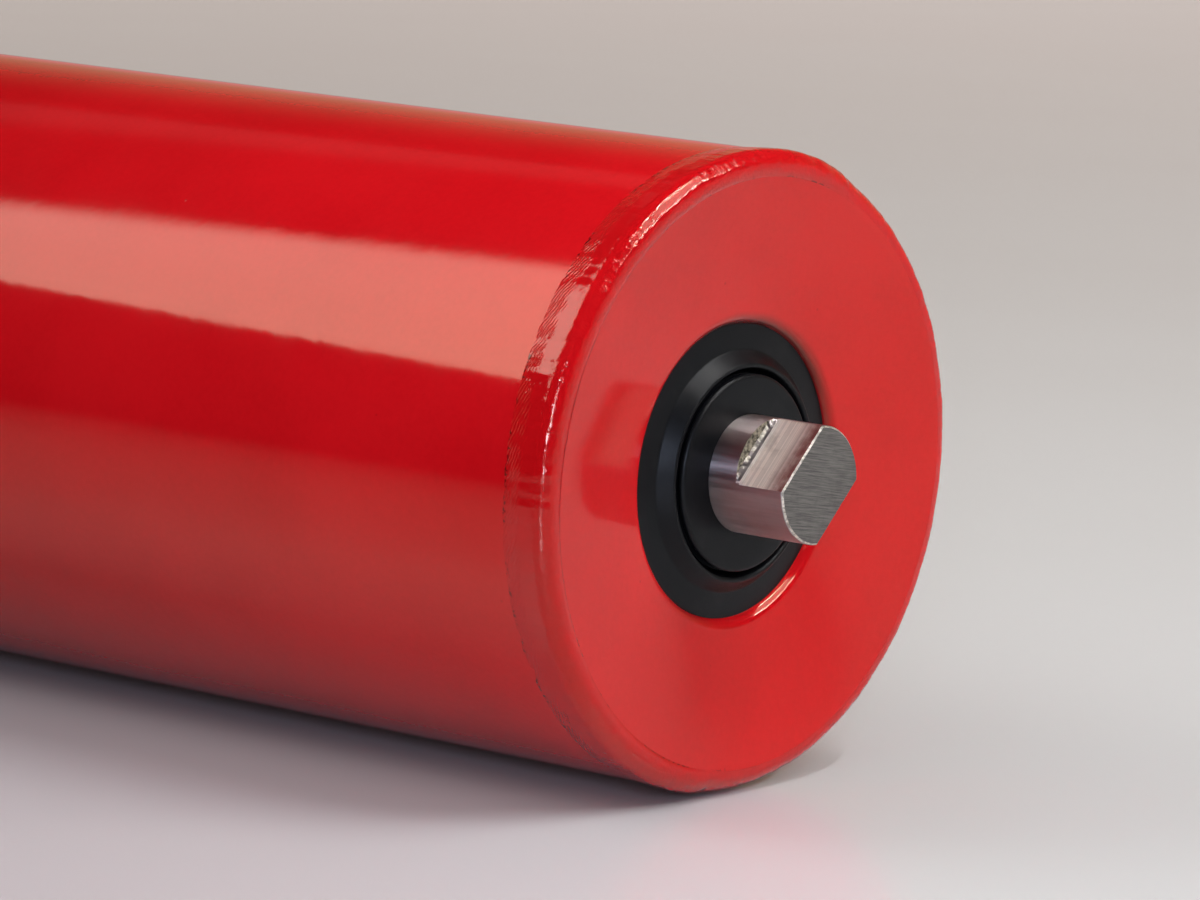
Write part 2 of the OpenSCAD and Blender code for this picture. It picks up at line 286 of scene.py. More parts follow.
    def blend(self, factor: Any, a: Any, b: Any, way: str = "MIX") -> bpy.types.NodeSocket:
        """Mixes two colours.

        Args:
            factor: Share of the second.
            a: First colour.
            b: Second colour.
            way: The Mix node's way of blending.

        Returns:
            The mixed colour.
        """
        made = self.add("ShaderNodeMix", {"Factor": factor}, data_type="RGBA", blend_type=way)
        self.feed(made.inputs[6], (*a, 1.0) if isinstance(a, tuple) else a)
        self.feed(made.inputs[7], (*b, 1.0) if isinstance(b, tuple) else b)
        return made.outputs[2]

    def bump(self, height: Any, distance: float, under: bpy.types.NodeSocket | None = None) -> bpy.types.NodeSocket:
        """Lays a relief on a surface.

        Args:
            height: The relief's height from 0 to 1.
            distance: Its depth in metres.
            under: The normal of the relief below it, if there is one.

        Returns:
            The normal.
        """
        laid = {} if under is None else {"Normal": under}
        made = self.add("ShaderNodeBump", {"Height": height, "Distance": distance, "Strength": 1.0, **laid})
        return made.outputs[0]

    def hand_over(self, geometry: bpy.types.NodeSocket, finish: Any) -> None:
        """Ends a Geometry Nodes tree: makes its instances real, gives them the finish and passes them on.

        Args:
            geometry: The geometry to pass on.
            finish: The finish.
        """
        real = self.add("GeometryNodeRealizeInstances", {"Geometry": geometry})
        coated = self.add("GeometryNodeSetMaterial", {"Geometry": real.outputs[0], "Material": finish})
        self.add("NodeGroupOutput", {"Geometry": coated.outputs[0]})


def node_group(name: str, kind: str, inputs: dict[str, Any], output: str, output_type: str) -> bpy.types.NodeTree:
    """Makes an empty node group.

    Args:
        name: The group's name.
        kind: The tree's type name.
        inputs: Default of each input by name. It gives the input's type too; None stands for a material.
        output: Name of the output.
        output_type: The output's socket type.

    Returns:
        The group.
    """
    tree = bpy.data.node_groups.new(name, kind)
    for title, default in inputs.items():
        made = tree.interface.new_socket(title, in_out="INPUT", socket_type=SOCKET_TYPES[type(default)])
        if default is not None:
            made.default_value = default
    tree.interface.new_socket(output, in_out="OUTPUT", socket_type=output_type)
    return tree


def geometry_group(name: str, inputs: dict[str, Any]) -> bpy.types.NodeTree:
    """Makes an empty Geometry Nodes group with the finish as its last input."""
    return node_group(name, "GeometryNodeTree", {**inputs, "Finish": None}, "Geometry", "NodeSocketGeometry")


def shader_group(name: str, inputs: dict[str, float], output: str,
                 fill: Callable[[Bench, dict[str, Num]], Num]) -> bpy.types.NodeTree:
    """Makes a shader node group with a place as its first input and one number as its output.

    Args:
        name: The group's name.
        inputs: Default of each other input by name.
        output: Name of the output.
        fill: Adds the nodes, given the bench and the inputs by name, and returns the result.

    Returns:
        The group.
    """
    tree = node_group(name, "ShaderNodeTree", {"Place": (0.0, 0.0, 0.0), **inputs}, output, "NodeSocketFloat")
    bench = Bench(tree)
    bench.add("NodeGroupOutput", {output: fill(bench, bench.outputs("NodeGroupInput"))})
    return tree


def fill_round_lines(bench: Bench, given: dict[str, Num]) -> Num:
    """Gives fine lines round the X axis, a little uneven along their way.

    Args:
        bench: The group to fill.
        given: Its inputs by name.

    Returns:
        Their height from 0 to 1.
    """
    x, y, z = bench.separate(given["Place"])
    ring = bench.combine(0.0, y, z)
    across = bench.combine(x * given["Lines per metre"], bench.vector("LENGTH", ring) * given["Lines per metre"])
    return bench.noise(bench.vector("ADD", across, bench.scaled(ring, 3.0)), 1.0, 3.0, 0.65)


def fill_orange_peel(bench: Bench, given: dict[str, Num]) -> Num:
    """Gives the low swells of a sprayed coat, with finer ones over them.

    Args:
        bench: The group to fill.
        given: Its inputs by name.

    Returns:
        Their height from 0 to 1.
    """
    place = bench.scaled(given["Place"], given["Swells per metre"])
    return bench.noise(place, 1.0, 1.5, 0.4) * 0.8 + bench.noise(place, 3.7, 1.0, 0.5) * 0.2


def fill_nibs(bench: Bench, given: dict[str, Num]) -> Num:
    """Gives small round specks, in a few of the cells of a scattered grid.

    Args:
        bench: The group to fill.
        given: Its inputs by name.

    Returns:
        Their mask.
    """
    place = bench.scaled(given["Place"], given["Cells per metre"])
    cell = bench.add("ShaderNodeTexVoronoi", {"Vector": place, "Scale": 1.0, "Randomness": 1.0})
    pick = bench.separate(cell.outputs["Color"])
    chosen = bench.math("LESS_THAN", pick[0], given["Share"])
    size = bench.share(pick[1], 0.0, 1.0, 0.05, given["Largest"])
    return bench.remap(cell.outputs["Distance"], 0.0, size, 1.0, 0.0) * chosen


@dataclass(frozen=True)
class Effects:
    """The shader groups that several finishes share."""

    round_lines: bpy.types.NodeTree
    orange_peel: bpy.types.NodeTree
    nibs: bpy.types.NodeTree

    @classmethod
    def build(cls) -> "Effects":
        """Makes the groups.

        Returns:
            All three.
        """
        return cls(
            shader_group("Round lines", {"Lines per metre": 2500.0}, "Height", fill_round_lines),
            shader_group("Orange peel", {"Swells per metre": 260.0}, "Height", fill_orange_peel),
            shader_group("Nibs", {"Cells per metre": 120.0, "Share": 0.3, "Largest": 0.2}, "Mask", fill_nibs),
        )


@dataclass(frozen=True)
class Finish:
    """A surface finish; each kind fills in paint()."""

    name: str
    effects: Effects

    def paint(self, bench: Bench, shader: bpy.types.Node, place: Any) -> None:
        """Adds the finish's nodes; a kind of finish replaces this."""
        raise NotImplementedError

    def build(self) -> bpy.types.Material:
        """Makes the material.

        Returns:
            The finished material, reading the piece's own Object coordinates.
        """
        made = bpy.data.materials.new(self.name)
        bench = Bench.emptied(made)
        place = bench.outputs("ShaderNodeTexCoord")["Object"]
        shader = bench.add("ShaderNodeBsdfPrincipled")
        self.paint(bench, shader, place)
        bench.add("ShaderNodeOutputMaterial", {"Surface": shader.outputs[0]})
        return made

    def effect(self, bench: Bench, tree: bpy.types.NodeTree, **inputs: Any) -> Num:
        """Adds one of the shared groups.

        Args:
            bench: The tree to fill.
            tree: The group.
            inputs: Values for its inputs; an underscore in a name stands for a space.

        Returns:
            The group's number.
        """
        made = bench.add("ShaderNodeGroup", node_tree=tree)
        for name, value in inputs.items():
            bench.feed(made.inputs[name.replace("_", " ")], value)
        return bench.num(made.outputs[0])


@dataclass(frozen=True)
class Enamel(Finish):
    """Sprayed and stoved gloss enamel; on the weld it is lumpy, with ripples and pin holes."""

    deep: Colour
    bright: Colour
    tint: Colour = (1.0, 0.78, 0.52)
    gloss: float = 0.07
    peel_per_metre: float = 260.0
    peel_depth: float = 0.02 * MM
    nib_share: float = 0.3
    nib_height: float = 0.03 * MM
    lines_depth: float = 0.0
    on_weld: bool = False
    ripples_per_radian: float = 205.0
    ripple_depth: float = 0.07 * MM
    # Colour of the painted shade in the weld's pin holes.
    hole_tone: Colour = (0.03, 0.002, 0.002)
    veil: bool = False
    soot_tone: Colour = (0.08, 0.008, 0.008)
    soot_from: float = 0.0254
    soot_to: float = 0.0274
    # Painted shade: how much darker the coat is at the roller's middle, and how far out from the middle it is back to
    # full tone.
    fade_low: float = 1.0
    fade_reach: float = 0.15

    def ripples(self, bench: Bench, place: Any) -> Num:
        """Gives the weld's slanting ripples, on the back half of the bead's run.

        Args:
            bench: The tree to fill.
            place: The Object coordinates.

        Returns:
            Their height from 0 to 1.
        """
        turn, across = bench.lay()
        run = bench.share(across, NOSE_END, RUN_END)
        wander = bench.noise(place, 260.0, 3.0, 0.6) * 15.0
        phase = turn * self.ripples_per_radian + (run * -62.0 + wander)
        wave = bench.math("SINE", phase) * 0.5 + 0.5
        patch = bench.remap(bench.noise(place, 330.0, 2.0, 0.6), 0.36, 0.6, 0.1, 1.0)
        edge = bench.noise(place, 210.0, 3.0, 0.6) * 0.6 + run
        return wave * (patch * bench.remap(edge, 0.62, 0.84))

    def pin_holes(self, bench: Bench, place: Any) -> Num:
        """Gives painted shade for the small holes that the weld leaves along both of the bead's toes: dark dots in
        the colour, with no hollow in the surface.

        Args:
            bench: The tree to fill.
            place: The Object coordinates.

        Returns:
            Their mask.
        """
        _, across = bench.lay()
        front = bench.remap(across, 0.0, 0.01) * bench.remap(across, 0.118, 0.095)
        rear = bench.remap(across, 0.86, 0.9) * bench.remap(across, RUN_END, 0.92)
        dots = bench.remap(bench.noise(place, 1500.0, 2.0, 0.5), 0.5, 0.57)
        runs = bench.remap(bench.noise(place, 120.0, 2.0, 0.6), 0.48, 0.55)
        return bench.math("MAXIMUM", front, rear) * dots * runs

    def soot(self, bench: Bench, place: Any) -> Num:
        """Gives a darkening of the face close round the seal, stronger above it.

        Args:
            bench: The tree to fill.
            place: The Object coordinates.

        Returns:
            Its mask.
        """
        _, y, z = bench.separate(place)
        out = bench.vector("LENGTH", bench.combine(0.0, y, z))
        near = bench.remap(out, self.soot_from, self.soot_to, 1.0, 0.0)
        upper = bench.remap(z + y * 0.15, -0.008, 0.024, 0.0, 0.45) * bench.remap(out, 0.0252, 0.026, 2.0, 1.0)
        uneven = bench.remap(bench.noise(place, 120.0, 2.0, 0.5), 0.3, 0.6, 0.75, 1.0)
        return near * (upper * uneven)

    def relief(self, bench: Bench, place: Any, nibs: Num) -> bpy.types.NodeSocket:
        """Lays the coat's orange peel, the weld's ripples, the lines that show through and the nibs.

        Args:
            bench: The tree to fill.
            place: The Object coordinates.
            nibs: Mask of the nibs.

        Returns:
            The normal.
        """
        if self.on_weld:
            on_nose = bench.remap(bench.lay()[1], 0.6, 0.45, 0.12, 1.0)
            swells = bench.noise(place, self.peel_per_metre, 3.0, 0.6) * on_nose
            normal = bench.bump(self.ripples(bench, place), self.ripple_depth, bench.bump(swells, self.peel_depth))
        else:
            swells = self.effect(bench, self.effects.orange_peel, Place=place, Swells_per_metre=self.peel_per_metre)
            normal = bench.bump(swells, self.peel_depth)
        if self.lines_depth:
            lines = self.effect(bench, self.effects.round_lines, Place=place, Lines_per_metre=1800.0)
            normal = bench.bump(lines, self.lines_depth, normal)
        return bench.bump(nibs, self.nib_height, normal)

    def paint(self, bench: Bench, shader: bpy.types.Node, place: Any) -> None:
        """Adds the coat's colour, with painted shade towards the roller's middle and in the weld's pin holes where
        set, its uneven gloss and its relief.

        Args:
            bench: The tree to fill.
            shader: The Principled shader.
            place: The Object coordinates.
        """
        tone = bench.noise(place, 22.0, 3.0, 0.55) * 0.75 + bench.noise(place, 900.0, 2.0, 0.6) * 0.25
        colour = bench.blend(bench.remap(tone, 0.3, 0.7), self.deep, self.bright)
        nibs = self.effect(bench, self.effects.nibs, Place=place, Cells_per_metre=150.0,
                           Share=self.nib_share, Largest=0.07)
        colour = bench.blend(nibs * 0.55, colour, tuple(part * 0.45 for part in self.deep))
        # Painted shade: the colour is darker towards the middle of the roller and full towards its ends, standing in
        # for the light falling off along the tube.
        if self.fade_low < 1.0:
            off_middle = bench.math("ABSOLUTE", bench.separate(place)[0])
            colour = bench.scaled(colour, bench.share(off_middle, 0.0, self.fade_reach, self.fade_low, 1.0))
        if self.veil:
            # The face's colour darkens close round the seal, more so above it.
            colour = bench.blend(self.soot(bench, place), colour, self.soot_tone)
        if self.on_weld:
            # Painted shade: dark dots stand in for the shade inside the weld's pin holes along both toes.
            colour = bench.blend(self.pin_holes(bench, place) * 0.8, colour, self.hole_tone)
        shader.inputs["Specular IOR Level"].default_value = 0.5
        shader.inputs["Specular Tint"].default_value = (*self.tint, 1.0)
        shader.inputs["IOR"].default_value = 1.5
        bench.feed(shader.inputs["Base Color"], colour)
        rough = bench.remap(bench.noise(place, 60.0, 4.0, 0.6), 0.25, 0.75, self.gloss * 0.7, self.gloss * 1.5)
        bench.feed(shader.inputs["Roughness"], rough + nibs * 0.2)
        bench.feed(shader.inputs["Normal"], self.relief(bench, place, nibs))


@dataclass(frozen=True)
class Steel(Finish):
    """Bare or oiled steel with marks along one line."""

    tone: Colour
    rough: float
    lines_per_metre: float
    depth: float
    stain: Colour = (0.30, 0.27, 0.24)
    grain: Grain = Grain.DRAWN
    stain_share: float = 0.35
    metal: float = 1.0
    contrast: float = 1.0
    spread: float = 0.0
    tip_from: float = 0.0
    tip_to: float = 0.1712
    tip_tone: Colour = (0.2, 0.03, 0.025)

    def marks(self, bench: Bench, place: Any) -> Num:
        """Gives the marks.

        Args:
            bench: The tree to fill.
            place: The Object coordinates.

        Returns:
            Their height from 0 to 1.
        """
        fine = self.lines_per_metre
        if self.grain is Grain.NONE:
            return bench.noise(place, fine, 4.0, 0.6)
        if self.grain is Grain.DRAWN:
            x, y, z = bench.separate(place)
            return bench.noise(bench.combine(x * (fine * 0.05), y * fine, z * fine), 1.0, 3.0, 0.6)
        turn = (0.0, 0.0, 0.0) if self.grain is Grain.SAWN else (math.radians(45.0), 0.0, 0.0)
        x, y, z = bench.separate(bench.add("ShaderNodeMapping", {"Vector": place, "Rotation": turn}).outputs[0])
        if self.grain is Grain.SAWN:
            streak = bench.combine(y * (fine * 0.04), (z + y * 0.17) * fine)
        else:
            streak = bench.combine(y * (fine * 0.1), (x + (y * y * 22.0 + y * 0.42)) * fine)
        return bench.noise(streak, 1.0, 4.0, 0.7)

    def paint(self, bench: Bench, shader: bpy.types.Node, place: Any) -> None:
        """Adds the metal's tone, stains, marks and roughness.

        Args:
            bench: The tree to fill.
            shader: The Principled shader.
            place: The Object coordinates.
        """
        marks = self.marks(bench, place)
        cloud = bench.noise(place, 260.0, 4.0, 0.6)
        dirt = bench.remap(cloud, 0.5, 0.75, 0.0, self.stain_share)
        worn = bench.blend(dirt, self.tone, self.stain)
        if self.tip_from:
            tip = bench.remap(bench.math("ABSOLUTE", bench.separate(place)[0]), self.tip_from, self.tip_to)
            worn = bench.blend(tip * bench.remap(cloud, 0.3, 0.6, 0.55, 0.95), worn, self.tip_tone)
        dark = bench.remap(marks, 0.3, 0.7, 1.0 - 0.28 * self.contrast, 1.0 + 0.12 * self.contrast)
        bench.feed(shader.inputs["Base Color"], bench.blend(1.0, worn, bench.grey(dark), "MULTIPLY"))
        shader.inputs["Metallic"].default_value = self.metal
        if self.spread:
            shader.inputs["Anisotropic"].default_value = self.spread
            bench.feed(shader.inputs["Tangent"], bench.combine(1.0, 0.0, 0.0))
        rough = bench.remap(marks, 0.2, 0.8, self.rough * 0.75, self.rough * 1.3)
        bench.feed(shader.inputs["Roughness"], rough + dirt * 0.25)
        bench.feed(shader.inputs["Normal"], bench.bump(marks, self.depth))


@dataclass(frozen=True)
class Plastic(Finish):
    """Moulded plastic with a fine spark-eroded texture."""

    tone: Colour = (0.0034, 0.0036, 0.0042)
    dusty: Colour = (0.0085, 0.0082, 0.0085)
    rough: float = 0.36
    shine: float = 0.17
    grain_depth: float = 0.006 * MM

    def paint(self, bench: Bench, shader: bpy.types.Node, place: Any) -> None:
        """Adds the moulded grain, a film of dust and faint lines from the mould's turning.

        Args:
            bench: The tree to fill.
            shader: The Principled shader.
            place: The Object coordinates.
        """
        grain = bench.noise(place, 2600.0, 3.0, 0.6)
        dust = bench.remap(bench.noise(place, 130.0, 4.0, 0.65), 0.45, 0.8)
        nibs = self.effect(bench, self.effects.nibs, Place=place, Cells_per_metre=420.0, Share=0.12, Largest=0.16)
        bench.feed(shader.inputs["Base Color"],
                   bench.blend(bench.math("MAXIMUM", dust, nibs), self.tone, self.dusty))
        shader.inputs["IOR"].default_value = 1.5
        shader.inputs["Specular IOR Level"].default_value = self.shine
        bench.feed(shader.inputs["Roughness"],
                   bench.remap(grain, 0.2, 0.8, self.rough * 0.85, self.rough * 1.2))
        lines = self.effect(bench, self.effects.round_lines, Place=place, Lines_per_metre=2200.0)
        bench.feed(shader.inputs["Normal"], bench.bump(grain + lines * 0.5, self.grain_depth))


# ---------------------------------------------------------------- turned shapes


def arc(centre: Point, radius: float, start: float, end: float, steps: int) -> list[Point]:
    """Gives points along an arc.

    Args:
        centre: Its centre, as depth and radius from the roller's line.
        radius: Its radius.
        start: Angle of its first point, in degrees from the way of growing depth.
        end: Angle of its last point.
        steps: Number of straight steps.

    Returns:
        The points, both ends among them.
    """
    spread = [math.radians(start + (end - start) * i / steps) for i in range(steps + 1)]
    return [(centre[0] + radius * math.cos(a), centre[1] + radius * math.sin(a)) for a in spread]


def line(start: Point, end: Point, steps: int) -> list[Point]:
    """Gives evenly spaced points along a straight line, both ends among them."""
    return [(start[0] + (end[0] - start[0]) * i / steps, start[1] + (end[1] - start[1]) * i / steps)
            for i in range(steps + 1)]


def flat(start: Point, end: Point, steps: int, hold: float = 0.15) -> list[Point]:
    """Gives points along a straight line with two more close to its ends, which keep its shading straight.

    Args:
        start: Its start.
        end: Its end.
        steps: Number of steps between the two points near its ends.
        hold: How far those two lie from its ends, in millimetres.

    Returns:
        The points, both ends among them.
    """
    share = hold / math.dist(start, end)
    near = (start[0] + (end[0] - start[0]) * share, start[1] + (end[1] - start[1]) * share)
    far = (end[0] + (start[0] - end[0]) * share, end[1] + (start[1] - end[1]) * share)
    return [start, *line(near, far, steps), end]


def link(name: str, data: Any) -> bpy.types.Object:
    """Makes an object and puts it in the scene.

    Args:
        name: The object's name.
        data: Its mesh, lamp or camera.

    Returns:
        The object, at the origin.
    """
    made = bpy.data.objects.new(name, data)
    bpy.context.scene.collection.objects.link(made)
    return made


def tidy(outline: Iterable[Point]) -> list[Point]:
    """Leaves out points that lie on the one before them.

    Args:
        outline: A closed outline.

    Returns:
        The points left, without the first one again at the end.
    """
    kept: list[Point] = []
    for point in outline:
        if not kept or math.dist(point, kept[-1]) > 1e-6:
            kept.append(point)
    return kept[:-1] if math.dist(kept[0], kept[-1]) < 1e-6 else kept


def finish_mesh(name: str, shape: bmesh.types.BMesh, crease: float = 28.0) -> bpy.types.Object:
    """Turns a closed shape into a smooth-shaded object with its sharp edges marked.

    Args:
        name: The piece's name.
        shape: The shape, which is freed.
        crease: Angle in degrees past which an edge is sharp.

    Returns:
        The object, at the origin.
    """
    bmesh.ops.remove_doubles(shape, verts=shape.verts, dist=1e-7)
    bmesh.ops.recalc_face_normals(shape, faces=shape.faces)
    for face in shape.faces:
        face.smooth = True
    for edge in shape.edges:
        if len(edge.link_faces) == 2 and edge.calc_face_angle(0.0) > math.radians(crease):
            edge.smooth = False
    mesh = bpy.data.meshes.new(name)
    shape.to_mesh(mesh)
    shape.free()
    return link(name, mesh)


def turned(name: str, outline: Iterable[Point], end: End, face_at: float, steps: int = 192) -> bpy.types.Object:
    """Turns a closed outline about the roller's line.

    Args:
        name: The piece's name.
        outline: Corners as depth behind the face and radius, in millimetres.
        end: Which end the part belongs to.
        face_at: How far the face is from the middle, in metres.
        steps: Number of steps round.

    Returns:
        The object.
    """
    points = tidy(outline)
    shape = bmesh.new()
    rings = []
    for step in range(steps):
        turn = 2.0 * math.pi * step / steps
        rings.append([shape.verts.new((end.value * (face_at - depth * MM), radius * MM * math.cos(turn),
                                       radius * MM * math.sin(turn))) for depth, radius in points])
    for here, there in zip(rings, rings[1:] + rings[:1]):
        for i in range(len(points)):
            j = (i + 1) % len(points)
            shape.faces.new((here[i], here[j], there[j], there[i]))
    return finish_mesh(name, shape)


# ---------------------------------------------------------------- the shell


@dataclass(frozen=True)
class RollerTube:
    """The tube, with the seat for a housing bored into each end."""

    outer_r: float = 54.0
    bore_r: float = 50.0
    seat_r: float = 50.25
    seat_deep: float = 11.0
    edge: float = 0.3

    def outline(self, half: float) -> list[Point]:
        """Gives the closed section.

        Args:
            half: Half of the tube's length, in millimetres.

        Returns:
            Corners as distance from one end, in millimetres, and radius.
        """
        full, seat, e = 2.0 * half, self.seat_deep, self.edge
        return [
            *line((e, self.outer_r), (full - e, self.outer_r), 40),
            (full, self.outer_r - e), (full, self.seat_r), (full - seat, self.seat_r),
            (full - seat, self.bore_r), (seat, self.bore_r), (seat, self.seat_r), (0.0, self.seat_r),
            (0.0, self.outer_r - e),
        ]

    def build(self, finish: bpy.types.Material) -> None:
        """Makes the tube over its CAD node's box.

        Args:
            finish: The enamel.
        """
        low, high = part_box("tube")
        made = turned("enamelled_tube", self.outline((high.x - low.x) / 2.0 / MM), End.RIGHT, high.x, 256)
        dress(made, finish, "shell", "red_enamel", "tube")


@dataclass(frozen=True)
class Housing:
    """One bearing housing, pressed from sheet: dished face, rim, seal seat, bearing seat and shoulder."""

    rim_r: float = 50.25
    sheet: float = 3.5
    rim_len: float = 14.0
    rim_edge: float = 1.0
    dish: float = DISH
    entry: float = 2.6
    seal_r: float = SEAL_R
    clip_at: float = CLIP_AT
    rear_edge: float = 0.75
    bearing_r: float = 23.5
    bearing_end: float = 27.0
    shoulder_t: float = 3.0
    shoulder_r: float = 18.5

    def dish_at(self, radius: float) -> float:
        """Gives the depth of the dished face at a radius."""
        return (self.rim_r - self.rim_edge - radius) * math.tan(math.radians(self.dish))

    def outline(self) -> list[Point]:
        """Gives the closed section, from the face's outer edge inwards and back round the rear.

        Returns:
            Corners as depth behind the face and radius, in millimetres.
        """
        t, back = self.sheet, self.bearing_end + self.shoulder_t
        fillet = t / 2.0
        lean, slope = 180.0 + self.dish, math.cos(math.radians(self.dish))
        entry_r, inner_r, outer_r = self.seal_r + self.entry, self.seal_r + t + fillet, self.rim_r - t - fillet
        under_r = self.rim_r - 0.25
        entry = arc((self.dish_at(entry_r) + self.entry / slope, entry_r), self.entry, lean, 270, 20)
        return [
            (0.3, self.rim_r), *flat((self.dish_at(under_r), under_r), entry[0], 8), *entry[1:],
            (self.clip_at, self.seal_r), (self.clip_at, self.bearing_r), (self.bearing_end, self.bearing_r),
            (self.bearing_end, self.shoulder_r),
            *arc((back - self.rear_edge, self.shoulder_r + self.rear_edge), self.rear_edge, 270, 360, 4),
            *arc((back - t, self.bearing_r + 0.5), t, 0, 90, 8),
            (self.clip_at + t, self.bearing_r + t), (self.clip_at + t, self.seal_r + t),
            *arc((self.dish_at(inner_r) + (t + fillet) / slope, inner_r), fillet, 270, lean, 6),
            *arc((self.dish_at(outer_r) + (t + fillet) / slope, outer_r), fillet, lean, 90, 6),
            *arc((self.rim_len - t / 3.0, self.rim_r - t + t / 3.0), t / 3.0, 270, 360, 4),
            (self.rim_len, self.rim_r),
        ]

    def build(self, end: End, face_at: float, finish: bpy.types.Material) -> None:
        """Makes one housing.

        Args:
            end: Which end it closes.
            face_at: Distance of its face from the middle, in metres.
            finish: The enamel.
        """
        made = turned(f"{end.title}_pressed_housing", self.outline(), end, face_at, 256)
        dress(made, finish, "shell", "red_enamel", f"{end.title}_housing")


@dataclass(frozen=True)
class SlimSection:
    """The weld bead's section where it is slim: flat with the face, then one long round, in millimetres."""

    round_at: float = 5.4
    round_deep: float = 5.5
    round_high: float = 3.5
    crest_r: float = 50.8
    drop: float = 0.9
    run: float = 3.3
    fall: float = -0.3
    toe_at: float = -0.0388
    toe_deep: float = -0.0612
    toe_r: float = 49.5
    toe_wide: float = 0.4
    level_to: float = 0.15

    def section(self, bench: Bench, toe: Num, nose: Num, run: Num, on_toe: Num) -> tuple[Num, Num]:
        """Adds the section's nodes.

        Args:
            bench: The tree to fill.
            toe: Share of the way over the front toe.
            nose: Share of the way round the nose.
            run: Share of the way back along the tube.
            on_toe: Whether the point is on the toe.

        Returns:
            The point's depth behind the face and its radius, in metres.
        """
        bend = bench.share(nose, self.level_to, 1.0) * (math.pi / 2)
        level = bench.share(nose, 0.0, self.level_to, -self.drop * MM, 0.0)
        depth = self.round_at * MM - bench.math("COSINE", bend) * (self.round_deep * MM)
        depth = run * (self.run * MM) + depth
        radius = level + (bench.math("SINE", bend) * (self.round_high * MM) + self.crest_r * MM)
        radius = run * run * (self.fall * MM) + radius
        toe_depth = toe * (self.toe_deep * MM) + self.toe_at * MM
        toe_r = toe * (self.toe_wide * MM) + self.toe_r * MM
        return on_toe * (toe_depth - depth) + depth, on_toe * (toe_r - radius) + radius


